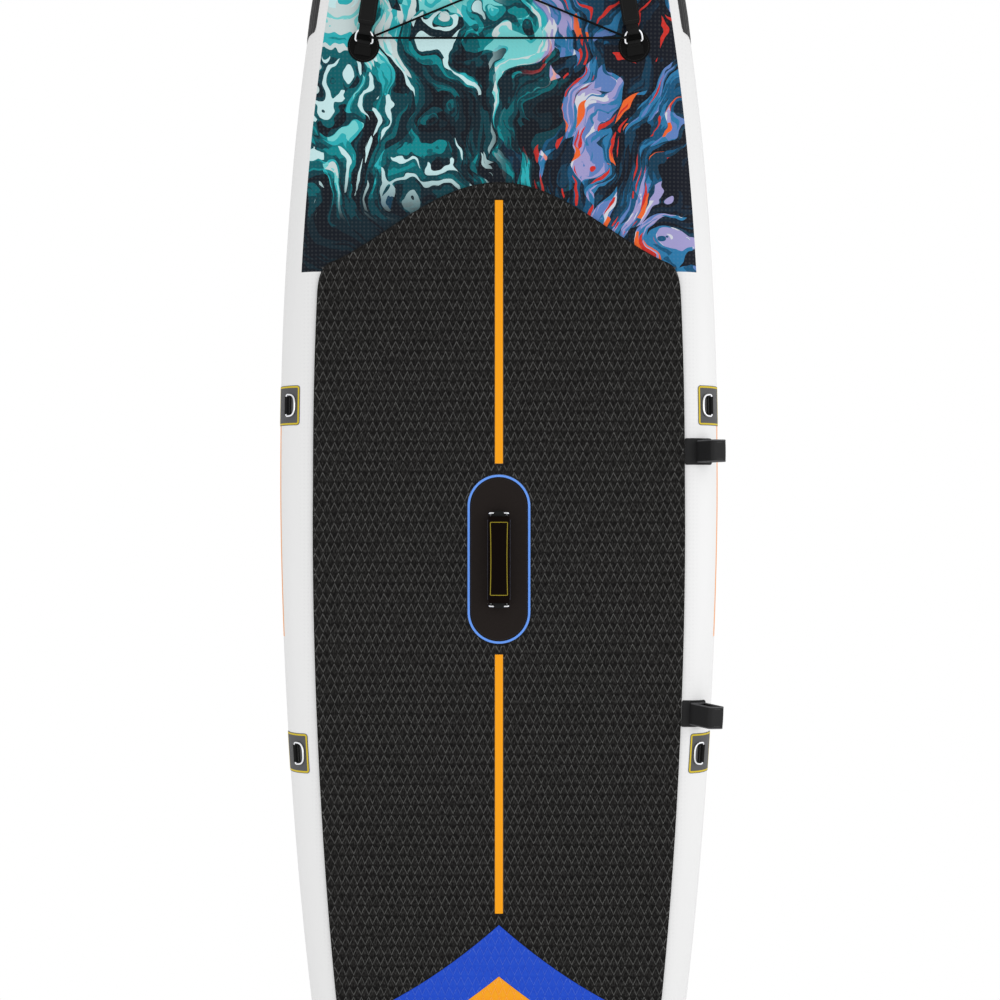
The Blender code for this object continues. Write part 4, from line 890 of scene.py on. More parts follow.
def turned(profile, steps, closed=False):
    """A shape of revolution about Z from (radius, z) pairs."""
    bm = bmesh.new()
    rows = []
    for r, z in profile:
        if r < 1e-9:
            rows.append([bm.verts.new((0, 0, z))] * steps)
        else:
            rows.append(loop(bm, [(r * math.cos(t), r * math.sin(t), z) for t in circle(steps)]))
    for low, high in zip(rows, rows[1:] + rows[:1] if closed else rows[1:]):
        for i in range(steps):
            j = (i + 1) % steps
            corners = tuple(dict.fromkeys((low[i], low[j], high[j], high[i])))
            if len(corners) > 2:
                bm.faces.new(corners)
    return bm


def deck_drop(x, y):
    """How far the deck has curved down towards the rail at a point."""
    inset = (half_width(y) - abs(x)) if NOSE_Y > y > TAIL_Y else 0
    slope = (half_width(y + 1e-3) - half_width(y - 1e-3)) / 2e-3 if abs(y) < NOSE_Y - 0.01 else 0
    inset = max(0, inset / math.sqrt(1 + slope * slope))
    if inset >= RAIL:
        return 0.0
    return RAIL - math.sqrt(RAIL**2 - (RAIL - inset) ** 2)


# Deck pad
# Foam in four pieces: a black front with a bell-shaped edge, a blue and an orange chevron, and
# a black tail. Rows of ridges zigzag across it, and the foam between them is brushed and darkened
# with painted shade in the hollows and between the rows.

PAD_THICKNESS = 0.0050
PAD_TOP = THICKNESS + GAP + PAD_THICKNESS
PAD_INSET = 0.0725
PAD_TAPER = 0.0146
PAD_TAPER_RUN = 0.95
PAD_SEAM = 0.0004
PAD_SHOULDER = 0.516
PAD_BELL = 0.161
PAD_PITCH = 0.03
BELL_PAST_SIDE = 0.0236
BELL_POWER = 1.6
BELL_CORNER = 0.0214
SHOULDER_ROUND = 0.046
PAD_END = TAIL_Y + 0.25
PAD_END_ROUND = 0.06
CHEVRONS = ((-0.706, 0.879, 0.869), (-0.802, 0.80, 0.72), (-0.898, 0.80, 0.72))
PAD_SLOTS = {
    "deck_pad": "pad_foam",
    "chevron_blue": "foam_blue",
    "chevron_orange": "foam_orange",
    "tail_pad": "pad_foam",
}
FOAM_LOOKS = {
    "pad_foam": ((30, 29, 28), (5, 4, 4), (56, 55, 54), (70, 70, 69), (98, 98, 96), 1.0),
    "foam_blue": ((38, 82, 208), (34, 76, 202), (44, 88, 212), (56, 96, 212), (76, 110, 216), 0.3),
    "foam_orange": ((255, 172, 38), (255, 166, 32), (255, 176, 46), (255, 178, 62), (255, 184, 84), 0.3),
}
STRIPE_WIDTH = 0.015
STRIPES = {"front": (0.154, 0.644), "rear": (-0.6845, -0.202)}
STRIPE_CORNER = 0.0008
GROOVE = 0.0007
HANDLE_Y = -0.0243
HANDLE_PATCH = (0.117, 0.315)
BASE_TOP = PAD_TOP - 0.0006
RIDGE_TOP = PAD_TOP + 0.0003
RIDGE_FOOT = BASE_TOP - 0.0001
RIDGE_PERIOD = 0.01425
RIDGE_ROW = 0.01879
RIDGE_HEIGHT = 0.0146
RIDGE_FIRST = 0.663
RIDGE_HALF = 0.0013
RIDGE_MARGIN = 0.0016
RIDGE_PARTS = 5
RIDGE_REACH = 0.36
RIDGE_WOBBLE = 0.0006
RIDGE_SIDE = ((1, RIDGE_FOOT), (0.72, RIDGE_TOP - 0.0002))
RIDGE_PROFILE = (*RIDGE_SIDE, (0, RIDGE_TOP), *((-share, z) for share, z in reversed(RIDGE_SIDE)))
SIDE_BENDS = [0.24 + 0.01 * k for k in range(11)]


def pad_inset(y):
    return PAD_INSET - PAD_TAPER * min(1, max(0, (WIDE_POINT - y) / PAD_TAPER_RUN))


def pad_side(y):
    """Half the pad's width."""
    u = place_along(y, pad_inset(y))
    return (outline(u) - outward(u) * pad_inset(y)).x


def bell(x):
    share = min(1, x / (pad_side(PAD_SHOULDER) + BELL_PAST_SIDE))
    return PAD_SHOULDER + PAD_BELL * math.cos(math.pi / 2 * share) ** BELL_POWER


def side_points(top, bottom):
    count = max(1, math.ceil((top - bottom) / PAD_PITCH))
    return [(pad_side(y), y) for y in spread(top, bottom, count)]


def chevron_edge(apex, slope, curve, x):
    """The edge of a chevron, which flattens a little towards the pad's sides."""
    return apex - slope * x + curve * x**2


def chevron_foot(edge):
    """The height at which a chevron's edge meets the pad's side."""
    y = edge[0]
    for _ in range(30):
        y = chevron_edge(*edge, pad_side(y))
    return y


def seam_points(place, lift=0.0):
    """A chevron's edge from the middle of the pad to its side, both ends left out."""
    across = spread(0, pad_side(feet[place]), 14)[1:-1]
    return [(x, chevron_edge(*CHEVRONS[place], x) + lift) for x in across]


shoulder = pad_side(PAD_SHOULDER)
bell_end = shoulder - BELL_CORNER
side_start = PAD_SHOULDER - SHOULDER_ROUND
side_top = (pad_side(side_start), side_start)
front_edge = [(x, bell(x)) for x in spread(0, bell_end, 36)[:-1]]
front_edge += curve_between((bell_end, bell(bell_end)), (shoulder, bell(shoulder)), side_top, 14)
feet = [chevron_foot(edge) for edge in CHEVRONS]
apexes = [edge[0] for edge in CHEVRONS]
end_start = PAD_END + PAD_END_ROUND
end_side = pad_side(end_start)
end_corner = (pad_side(PAD_END), PAD_END)
tail_corner = curve_between((end_side, end_start), end_corner, (end_corner[0] - PAD_END_ROUND, PAD_END), 12)
pad_halves = {
    "deck_pad": front_edge + side_points(side_start, feet[0] + PAD_SEAM)[1:],
    "chevron_blue": [(0, apexes[0])] + seam_points(0) + side_points(feet[0], feet[1] + PAD_SEAM),
    "chevron_orange": [(0, apexes[1])] + seam_points(1) + side_points(feet[1], feet[2] + PAD_SEAM),
    "tail_pad": [(0, apexes[2])] + seam_points(2) + side_points(feet[2], end_start)[:-1] + tail_corner,
}
pad_names = list(pad_halves)
for place, name in enumerate(pad_names[:3]):
    pad_halves[name] += seam_points(place, PAD_SEAM)[::-1] + [(0, apexes[place] + PAD_SEAM)]


def foam(name, base, shade_and_streak, light, ridge, bright, relief):
    """The brushed foam between the ridges, with painted shade in its hollows and between the rows, and the
    ridges' own surface.
    """
    floor = Surface(name, base, 0.86, specular=0.15)
    x, y, _ = separate(floor.tree, floor.place)
    stroke = noise(floor.tree, join(floor.tree, x * 400, y * 150, 0.0), 1, 2)
    fine = noise(floor.tree, join(floor.tree, x * 900, y * 240, 3.0), 1, 2)
    row = (y - RIDGE_FIRST) * (-1 / RIDGE_ROW) + 200.0
    down = row.maths("FRACT")
    shift = (row.maths("FLOOR") * 0.5).maths("FRACT")
    swing = ((x * (1 / RIDGE_PERIOD) - shift + 100.5).maths("FRACT") - 0.5).maths("ABSOLUTE") * 2
    painted_hollow_shade = (swing - down * (RIDGE_ROW / RIDGE_HEIGHT)).ramp(0.05, 0.55)
    painted_row_shade = down.ramp(RIDGE_HEIGHT / RIDGE_ROW, 0.97)
    patches = floor.grain(160, 2).ramp(0.38, 0.56)
    floor.tint(stroke.ramp(0.52, 0.66) * 0.8, light)
    # Painted shade: the hollows inside the zigzags, in random patches, and the bands between the rows are
    # darkened. The same dark colour also draws the brushed streaks below.
    floor.tint((painted_hollow_shade * patches).maths("MAXIMUM", painted_row_shade * 0.6) * 0.85, shade_and_streak)
    floor.tint(stroke.ramp(0.47, 0.36) * 0.9, shade_and_streak)
    floor.tint(fine.ramp(0.44, 0.34) * 0.6, shade_and_streak)
    floor.bump(stroke * 0.7 + fine * 0.3, 0.0008 * relief, 0.9)
    height = (0.0003 * relief, 0.8)
    top = grained(name + "_ridge", ridge, 0.80, (260, 3), height, bright, 0.7, (0.42, 0.66), 0.25)
    top.tint(top.grain(45, 2).ramp(0.50, 0.62) * 0.5, base)
    return floor, top


side_table_y = [PAD_END - 0.02 + 0.01 * k for k in range(220)]
side_table_x = [pad_side(y) for y in side_table_y]
bell_table_x = [0.005 * k for k in range(72)]
bell_table_y = [bell(x) for x in bell_table_x]


def inside_pad(name, x, y):
    """Whether points lie on one piece of the pad, clear of its edges, stripes and handle."""
    ax = np.abs(x)
    ok = ax < np.interp(y, side_table_y, side_table_x) - RIDGE_MARGIN
    ok &= y < np.interp(ax, bell_table_x, bell_table_y) - RIDGE_MARGIN
    corner = np.hypot(np.maximum(0, ax - (end_side - PAD_END_ROUND)), np.maximum(0, end_start - y))
    ok &= (y > end_start) | ((y > PAD_END + RIDGE_MARGIN) & (corner < PAD_END_ROUND - RIDGE_MARGIN))
    place = pad_names.index(name)
    if place > 0:
        ok &= y < chevron_edge(*CHEVRONS[place - 1], ax) - RIDGE_MARGIN / 2
    if place < 3:
        ok &= y > chevron_edge(*CHEVRONS[place], ax) + RIDGE_MARGIN / 2
    for low, high in STRIPES.values():
        ok &= ~((ax < STRIPE_WIDTH / 2 + GROOVE + RIDGE_MARGIN) & (y > low - 0.003) & (y < high + 0.003))
    reach = (HANDLE_PATCH[1] - HANDLE_PATCH[0]) / 2
    handle = np.hypot(ax, np.maximum(0, np.abs(y - HANDLE_Y) - reach))
    return ok & (handle > HANDLE_PATCH[0] / 2 + GROOVE + RIDGE_MARGIN)


def ridges(bm, name):
    """Zigzag bars in rows, each cut where the piece ends."""
    ys = [y for _, y in pad_halves[name]]
    first = math.floor((RIDGE_FIRST - max(ys)) / RIDGE_ROW) - 1
    last = math.ceil((RIDGE_FIRST - min(ys)) / RIDGE_ROW) + 1
    legs = 2 * math.ceil(RIDGE_REACH / RIDGE_PERIOD) + 2
    k = np.arange(-legs * RIDGE_PARTS, legs * RIDGE_PARTS + 1)
    swing = np.abs(((k / RIDGE_PARTS) % 2) - 1)
    for row in range(first, last):
        x = k * RIDGE_PERIOD / (2 * RIDGE_PARTS) + (RIDGE_PERIOD / 2 if row % 2 else 0.0)
        y = RIDGE_FIRST - row * RIDGE_ROW - RIDGE_HEIGHT * (1 - swing)
        bend = RIDGE_WOBBLE * np.sin(y * 311 + x * 173)
        ok = inside_pad(name, x, y)
        start = None
        for i in range(len(k) + 1):
            if i < len(k) and ok[i]:
                start = i if start is None else start
                continue
            if start is not None and i - start > 2:
                corners = [j for j in range(start + 1, i - 1) if k[j] % RIDGE_PARTS == 0]
                ridge_bar(bm, [(x[j] + bend[j], y[j]) for j in (start, *corners, i - 1)])
            start = None


def ridge_bar(bm, points):
    """One bar of foam along points, mitred at its corners."""
    points = [Vector(p) for p in points]
    rows = []
    for i, here in enumerate(points):
        before = points[max(0, i - 1)]
        after = points[min(len(points) - 1, i + 1)]
        first = (here - before).normalized() if i else (after - here).normalized()
        second = (after - here).normalized() if i < len(points) - 1 else first
        side = Vector((-first.y, first.x))
        normal = Vector((-(first + second).y, (first + second).x))
        normal = (normal if normal.length > TINY else side).normalized()
        reach = RIDGE_HALF * min(1.25, 1 / max(0.3, abs(normal.dot(side))))
        rows.append(loop(bm, [(*(here + normal * reach * share), z) for share, z in RIDGE_PROFILE]))
    for face in wrap(bm, rows, around=False) + [bm.faces.new(rows[0]), bm.faces.new(rows[-1])]:
        face.material_index = 1


def lay_on_deck(bm):
    """Moves points drawn over a level deck onto the deck's curve, down towards the rails too."""
    for v in bm.verts:
        v.co.z += rocker(v.co.y) - deck_drop(v.co.x, v.co.y)


foams = {name: foam(name, *looks) for name, looks in FOAM_LOOKS.items()}
for name, half in pad_halves.items():
    points = half + [(-x, y) for x, y in reversed(half) if x > TINY]
    holes = []
    if name == "deck_pad":
        for low, high in STRIPES.values():
            size = (STRIPE_WIDTH + 2 * GROOVE, high - low + 2 * GROOVE)
            holes.append(rounded(*size, STRIPE_CORNER, (0, (low + high) / 2), 2))
        holes.append(stadium(*(size + 2 * GROOVE for size in HANDLE_PATCH), HANDLE_Y, 40))
    pad = slab([points, *holes], THICKNESS + GAP, BASE_TOP)
    ys = [y for _, y in points]
    if max(ys) > NOSE_ROCKER_START:
        cut_across(pad, 1, [NOSE_ROCKER_START + 0.02 * k for k in range(12)])
    if min(ys) < TAIL_ROCKER_START:
        cut_across(pad, 1, [TAIL_ROCKER_START - 0.04 * k for k in range(12)])
    cut_across(pad, 0, SIDE_BENDS + [-x for x in SIDE_BENDS])
    ridges(pad, name)
    lay_on_deck(pad)
    slot = PAD_SLOTS[name]
    piece("foam_" + name, pad, foams[slot], name, smooth=50)


# Stripes on the pad
# Two flat orange strips lie in grooves of the pad, along the middle of the deck.

stripe_foam = grained(
    "stripe_orange", (255, 167, 22), 0.75, (800, 3), (0.0002, 0.6), (255, 180, 74), 0.3, (0.5, 0.8), 0.15
)
for name, (low, high) in STRIPES.items():
    edge = rounded(STRIPE_WIDTH, high - low, STRIPE_CORNER, (0, (low + high) / 2), 3)
    stripe = slab([edge], THICKNESS + GAP, PAD_TOP)
    if high > NOSE_ROCKER_START:
        cut_across(stripe, 1, [NOSE_ROCKER_START + 0.02 * k for k in range(10)])
    lay_on_deck(stripe)
    piece("strip_" + name, stripe, [stripe_foam], "stripe_" + name, bevel=0.0004)


# Rail guard round the nose
# A black rubber strake glued along the rail, with fine ribs that run round the nose. Its ends
# are cut back towards its upper and lower edges.

GUARD_START = 0.950
GUARD_LEAD = 0.013
GUARD_EDGE = 44
GUARD_OUT = 0.0028
GUARD_LOW = GUARD_OUT - 0.0009
GUARD_RIBS = (-37.5, -31.5, -25.5, -19.5)
GUARD_STEPS = 150
GUARD_POWER = 0.8
GUARD_FADE = 0.08
GUARD_END_DROP = 0.0010

rubber = grained("guard_rubber", (34, 34, 35), 0.46, (900, 2), (0.00012, 0.6), specular=0.4)
rubber.tint(rubber.grain(160, 4).ramp(0.5, 0.75) * 0.35, (74, 74, 76))

section = [(-GUARD_EDGE, GAP), (-GUARD_EDGE - 0.2, 0.0007), (-GUARD_EDGE + 0.4, 0.0013), (-41.5, 0.0017)]
for rib in GUARD_RIBS:
    section += [(rib - 2.4, GUARD_LOW), (rib - 1.7, GUARD_OUT), (rib + 1.7, GUARD_OUT), (rib + 2.4, GUARD_LOW)]
for angle in (-14.5, -10.5, -6, -2):
    section.append((angle, 0.0019 - 0.0003 * math.cos(math.radians(angle * 6))))
section += [(-angle, out) for angle, out in reversed(section)]

guard = bmesh.new()
rows = []
start_u = place_along(GUARD_START)
for k in range(GUARD_STEPS + 1):
    side = 1 if k <= GUARD_STEPS / 2 else -1
    share = (1 - abs(2 * k / GUARD_STEPS - 1)) ** GUARD_POWER
    fade = max(0, 1 - share / GUARD_FADE)
    drop = GUARD_END_DROP if k in (0, GUARD_STEPS) else 0
    row = []
    for angle, out in section:
        lead = place_along(GUARD_START + GUARD_LEAD * abs(angle) / GUARD_EDGE) - start_u if fade else 0
        u = min(1, start_u + (1 - start_u) * share + lead * fade)
        row.append(rail_point(u, angle, out - (drop if out > 0.0012 else 0), side))
    rows.append(loop(guard, row))
wrap(guard, rows)
guard.faces.new(rows[0][::-1])
guard.faces.new(rows[-1])
piece("nose_strake", guard, [rubber], "nose_rail_guard", smooth=28)


# Carry handle
# A brown patch with a blue rim lies in the pad. Two steel rings stand in webbing loops and hold
# the strap, which runs through a padded sleeve piped in yellow.

HANDLE_BORDER = 0.0043
HANDLE_FLOOR = THICKNESS + GAP + 0.0040
HANDLE_SEAM = 0.0032
HANDLE_STITCH = (0.0042, 0.0030, 0.0003)
GRIP = (0.041, 0.160, 0.014)
GRIP_ARCH = 0.005
GRIP_CORNER = 0.005
GRIP_CROWN = 0.0006
GRIP_ENDS = (0, 0.0012, 0.003, 0.006, 0.010)
GRIP_NARROW = (0.84, 0.010)
HANDLE_STRAP_WIDTH = 0.027
HANDLE_EYE_SHARE = 0.62
HANDLE_EYE_RUN = 0.014
HANDLE_RING_RISE = 0.018
HANDLE_RING_LEAN = math.radians(12)
HANDLE_RING_SPAN = 0.172
HANDLE_RING_WIDTH = 0.036
HANDLE_TAB = (0.022, 0.0135)
HANDLE_TURN = (0.008, 0.010, 0.018, 0.030)
STRAP_LIFT = 0.0008
PIPING = (0.0318, 0.1345, 0.0007)
PIPING_Y = HANDLE_Y + 0.002
PIPING_PINCH = 0.0011
GRIP_HIGHLIGHT_STRIP = 0.0009

brown = grained(
    "handle_patch_brown", (23, 16, 13), 0.72, (1300, 3), (0.00012, 0.7), (44, 37, 35), 0.5, (0.45, 0.75), 0.16
)
rim_blue = grained("rim_blue", (98, 156, 250), 0.55, (1300, 2), (0.00008, 0.5))
neoprene = grained(
    "grip_neoprene", (13, 7, 5), 0.80, (1700, 3), (0.00012, 0.6), (26, 18, 16), 0.4, (0.45, 0.75), 0.04
)
piping_yellow = grained("piping_yellow", (158, 140, 12), 0.7, (3000, 1), (0.0001, 0.5))
# Grey-blue of the painted highlight strips on the grip's sides.
grip_highlight_blue = grained("grip_side_painted_highlight", (62, 66, 84), 0.6, (3000, 1), (0.0001, 0.5))

rim_outer = stadium(*HANDLE_PATCH, HANDLE_Y, 40)
rim_inner = stadium(*(size - 2 * HANDLE_BORDER for size in HANDLE_PATCH), HANDLE_Y, 40)
rim = slab([rim_outer, rim_inner], THICKNESS + GAP, PAD_TOP)
piece("handle_rim", rim, [rim_blue], "handle_border", bevel=0.0007)
patch = slab([offset_loop(rim_inner, GAP)], THICKNESS + GAP, HANDLE_FLOOR)
piece("handle_base", patch, [brown], "handle_patch", bevel=0.0006)
seam = bmesh.new()
seam_line = [(x, y, HANDLE_FLOOR + 0.0001) for x, y in offset_loop(rim_inner, HANDLE_SEAM)]
stitches(seam, seam_line, HANDLE_STITCH, 0, closed=True)
piece("handle_base_stitching", seam, [thread_black])

bar_height = HANDLE_FLOOR - SEWN + EYE_HEIGHT
top_height = bar_height + HANDLE_RING_RISE * math.cos(HANDLE_RING_LEAN)
foot_span = HANDLE_RING_SPAN / 2 - HANDLE_RING_RISE * math.sin(HANDLE_RING_LEAN)
ring_shape = rounded(HANDLE_RING_WIDTH, HANDLE_RING_RISE, RING_CORNER, (0, HANDLE_RING_RISE / 2), 7)
ring_shape = [(x, z, 0) for x, z in ring_shape[16:] + ring_shape[:16]]
for name, end in (("front", 1), ("rear", -1)):
    foot_y = HANDLE_Y + end * foot_span
    up = Vector((0, end * math.sin(HANDLE_RING_LEAN), math.cos(HANDLE_RING_LEAN)))
    ring_place = board_frame(Vector((0, foot_y, bar_height)), up, Vector((0, -up.z, up.y)))
    steel_ring("grab_ring_" + name, ring_shape, "handle_ring_" + name, ring_place)
    base = board_frame(Vector((0, foot_y, HANDLE_FLOOR - SEWN)), Vector((0, -end, 0)), UP)
    anchor = boxed_tab(HANDLE_RING_WIDTH, *HANDLE_TAB)
    label = "handle_anchor_webbing_" + name
    piece(label, anchor, [webbing, thread_grey], matrix=base, smooth=50)


def handle_line(y, lift=0.0):
    """A point on the strap's arch, as (y, z)."""
    share = (y - HANDLE_Y) / (HANDLE_RING_SPAN / 2)
    return y, top_height + GRIP_ARCH * (1 - share**2) + lift


strap_eye = EYE + STRAP_WEBBING / 2
rear_bar, front_bar = HANDLE_Y - HANDLE_RING_SPAN / 2, HANDLE_Y + HANDLE_RING_SPAN / 2
tail_end = [handle_line(rear_bar + y, -STRAP_LIFT) for y in HANDLE_TURN[:0:-1]]
path = tail_end + arc((rear_bar, top_height), strap_eye, -65, -285, 20)
span = spread(rear_bar + HANDLE_TURN[0], front_bar - HANDLE_TURN[0], 16)
path += [handle_line(y, STRAP_LIFT) for y in span]
path += arc((front_bar, top_height), strap_eye, 105, -115, 20)
path += [(2 * HANDLE_Y - y, z) for y, z in reversed(tail_end)]
strap = band(path, HANDLE_STRAP_WIDTH, STRAP_WEBBING * TIGHT)
for v in strap.verts:
    from_end = min(v.co.y - rear_bar, front_bar - v.co.y) + strap_eye
    v.co.x *= HANDLE_EYE_SHARE + (1 - HANDLE_EYE_SHARE) * min(1, max(0, from_end / HANDLE_EYE_RUN))
piece("grab_strap", strap, [webbing], "handle_strap", smooth=50)


def sleeve_stops(length, ends, count):
    """Places along a sleeve, close together near its ends."""
    middle = spread(ends[-1], length - ends[-1], count)[1:-1]
    return [*ends, *middle, *(length - s for s in reversed(ends))]


def padded_tube(line, width, height, radius, narrow, crown):
    """A stuffed sleeve along a line of (y, z) points. narrow is its ends' scale and reach."""
    total = line[-1][0] - line[0][0]
    end_scale, ease = narrow
    flat = height - 2 * crown
    rows = []
    for y, z in line:
        reach = min(y - line[0][0], line[-1][0] - y) / ease
        scale = end_scale + (1 - end_scale) * math.sin(math.pi / 2 * min(1, max(0, reach))) ** 0.6
        swell = 1 + 0.015 * math.sin((y - line[0][0]) / total * math.pi * 7)
        row = []
        for x, h in rounded(width * scale, flat * scale * swell, radius * scale, steps=7):
            row.append((x, y, z + h + crown * scale * math.copysign(max(0, 1 - (2 * x / width) ** 2), h)))
        rows.append(row)
    return strip(rows)


grip_width, grip_length, grip_height = GRIP
grip_start = HANDLE_Y - grip_length / 2
grip_line = [handle_line(grip_start + s) for s in sleeve_stops(grip_length, GRIP_ENDS, 30)]
grip = padded_tube(grip_line, grip_width, grip_height, GRIP_CORNER, GRIP_NARROW, GRIP_CROWN)
corners = [Vector(p) for p in rounded(PIPING[0], PIPING[1], 0.0016, (0, PIPING_Y), 4)]
dense = []
for a, b in zip(corners, corners[1:] + corners[:1]):
    dense += [a] + between(a, b, max(1, int((b - a).length / 0.006)))
path = []
for x, y in dense:
    if abs(x) > PIPING[0] / 2 - 0.002:
        share = (y - PIPING_Y) / (PIPING[1] / 2)
        x -= math.copysign(PIPING_PINCH * (1 - share**2), x)
    over = max(0, abs(x) - (grip_width / 2 - GRIP_CORNER))
    fall = GRIP_CORNER - math.sqrt(GRIP_CORNER**2 - over**2) + GRIP_CROWN * (2 * x / grip_width) ** 2
    path.append((x, *handle_line(y, grip_height / 2 - fall - PIPING[2] / 4)))
wire(path, PIPING[2], 8, bm=grip, index=1)
# Painted highlight: a thin grey-blue strip along each side of the sleeve stands in for the light on its sides.
for side in SIDES.values():
    ys = spread(HANDLE_Y - 0.46 * grip_length, HANDLE_Y + 0.46 * grip_length, 30)
    edge_strand = [(side * (grip_width / 2 - 0.0004), *handle_line(y, -0.001)) for y in ys]
    wire(edge_strand, GRIP_HIGHLIGHT_STRIP, 8, closed=False, bm=grip, index=2)
surfaces = [neoprene, piping_yellow, grip_highlight_blue]
piece("grip_sleeve", grip, surfaces, "handle_grip", smooth=50)


# Rings on the rails
# Four grey patches with a yellow line near the edge are glued over the rails. A webbing loop on
# each holds a steel D-ring, which swings on a body of its own.

RAIL_RING_SPOTS = {"front": 0.264, "rear": -0.391}
RAIL_RING = (0.040, 0.020)
RAIL_RING_ANGLE = 45
RAIL_PATCH_ANGLES = (13, 67)
RAIL_PATCH_LENGTH = 0.075
RAIL_PATCH_CORNERS = (0.006, 0.0045, 0.0045, 0.006)
RAIL_TAB_LENGTH = 0.0095
RAIL_STITCH = (0.0024, 0.0018, 0.00025)
RAIL_SEAM = (0.0145, 0.0072)
YELLOW_LINE = (0.0013, 0.0044)
BEND_ROUND = 0.006
BEND_ALONG = 0.012

patch_grey = grained(
    "ring_patch_grey", (82, 82, 83), 0.6, (1200, 2), (0.0001, 0.6), (104, 104, 104), 0.5, (0.4, 0.75), 0.3
)
line_yellow = grained("line_yellow", (214, 188, 6), 0.55, (1200, 2), (0.00008, 0.5))


def lay_on_rail(bm, y, angle, side):
    """Wraps a piece drawn flat round the rail: X goes up towards the deck, Y along the board."""
    for v in bm.verts:
        v.co = rail_point(u_at(y + v.co.y), angle + math.degrees(v.co.x / RAIL), v.co.z, side)


def steps_over(reach, pitch):
    count = int(reach / pitch)
    return [pitch * k for k in range(-count, count + 1)]


low, high = RAIL_PATCH_ANGLES
patch_size = (math.radians(high - low) * RAIL, RAIL_PATCH_LENGTH)
insets = [0, *YELLOW_LINE]
edges = []
for inset in insets:
    radii = tuple(max(0.0006, radius - inset) for radius in RAIL_PATCH_CORNERS)
    edges.append(rounded(*(size - 2 * inset for size in patch_size), radii, steps=6))
seat_height = GAP + PATCH + GAP
rest = math.acos((RAIL + seat_height + WIRE) / (RAIL + seat_height + EYE_HEIGHT))
for side_name, side in SIDES.items():
    for spot, y in RAIL_RING_SPOTS.items():
        label = f"{side_name}_{spot}"
        for name, outlines, levels, surface, node, bevel in (
            ("grey_patch_", edges[:1], (GAP, GAP + PATCH * TIGHT), patch_grey, "rail_patch_" + label, 0.0004),
            ("yellow_line_", edges[1:], (GAP + PATCH / 2, GAP + PATCH), line_yellow, "", 0.0),
        ):
            plate = slab(outlines, *levels)
            cut_across(plate, 0, steps_over(patch_size[0] / 2, BEND_ROUND))
            cut_across(plate, 1, steps_over(patch_size[1] / 2, BEND_ALONG))
            lay_on_rail(plate, y, (low + high) / 2, side)
            piece(name + label, plate, [surface], node, bevel=bevel)
        seat = rail_frame(u_at(y), RAIL_RING_ANGLE, seat_height, side)
        sewn = folded_tab(RAIL_RING[0], RAIL_TAB_LENGTH)
        seam = [(x, RAIL_SEAM[1], 2 * WEBBING) for x in (-RAIL_SEAM[0], 0, RAIL_SEAM[0])]
        stitches(sewn, seam, RAIL_STITCH)
        cloths = [webbing, thread_grey]
        piece("ring_loop_" + label, sewn, cloths, "rail_tab_" + label, "board", 50, seat)
        hinge = seat @ Matrix.Translation((0, 0, EYE_HEIGHT)) @ Matrix.Rotation(-rest, 4, "X")
        body = f"rail_ring_{label}_body"
        steel_ring("d_ring_" + label, d_path(*RAIL_RING), "rail_ring_" + label, hinge, body)


# Tow ring and leash ring
# Round patches on the nose and the tail carry a sewn loop with a D-ring each.

END_RINGS = {"tow": (NOSE_Y - 0.215, 1), "leash": (TAIL_Y + 0.125, -1)}
END_PATCH_RADIUS = 0.029
END_RING = (0.036, 0.020)
END_TAB_LENGTH = 0.018
DISC_RIM = 0.0006
DISC_SEAM = 0.0035
COVER_TOP = 2 * WEBBING + 0.0005
COVER_START = EYE + 0.0045
COVER_PAST = 0.002

coated = grained("black_coated_cloth", (8, 8, 8), 0.66, (1100, 2), (0.00012, 0.6), (20, 20, 20), specular=0.07)
cover_cloth = grained("cover_cloth", (11, 11, 11), 0.58, (1100, 2), (0.00010, 0.6), (22, 22, 22), specular=0.10)


def ring_patch(name, place, radius, ring_width, tab_length, bar_offset, stands_for):
    """A round patch on the deck with its sewn loop. Returns the frame on the ring's bar."""
    top = GAP + PATCH
    profile = [(0, GAP), (radius, GAP), (radius, GAP + PATCH / 2), (radius - DISC_RIM, GAP + PATCH * TIGHT)]
    disc = turned(profile + [(0.02, top), (0, top)], 64)
    for v in disc.verts:
        flat = place @ Vector((v.co.x, v.co.y, 0))
        level = THICKNESS + rocker(flat.y) - deck_drop(flat.x, flat.y)
        v.co = Vector((flat.x, flat.y, level + v.co.z))
    seam = [place @ Vector((*p, 0)) for p in arc((0, 0), radius - DISC_SEAM, 0, 355, 71)]
    seam = [(p.x, p.y, THICKNESS + rocker(p.y) + top) for p in seam]
    stitches(disc, seam, EDGE_STITCH, closed=True)
    piece(name + "_disc", disc, [coated, thread_black], stands_for, smooth=40)
    seat = place @ Matrix.Translation((0, bar_offset, top - SEWN))
    sewn = boxed_tab(ring_width, tab_length, tab_length / 2 + 0.003)
    behind = seat @ Matrix.Rotation(math.pi, 4, "Z")
    piece(name + "_loop", sewn, [webbing, thread_black], matrix=behind, smooth=50)
    end = tab_length + COVER_PAST
    edge = rounded(ring_width - 0.001, end - COVER_START, 0.0012, (0, -(end + COVER_START) / 2))
    cover = slab([edge], 0.0002, COVER_TOP)
    piece(name + "_cover", cover, [cover_cloth], matrix=seat, bevel=0.0007)
    return seat @ Matrix.Translation((0, 0, EYE_HEIGHT))


for name, (y, ahead) in END_RINGS.items():
    place = deck_frame(0, y, (0, ahead))
    bar_place = ring_patch(name, place, END_PATCH_RADIUS, END_RING[0], END_TAB_LENGTH, 0, name + "_patch")
    steel_ring(name + "_d_ring", d_path(*END_RING), name + "_ring", bar_place, name + "_ring_body")


# Cargo lashing
# Four D-rings on black discs. A strap in a padded sleeve joins the two rings on each side, and
# a bungee runs from ring to ring and crosses in the middle, its ends joined in a ferrule.

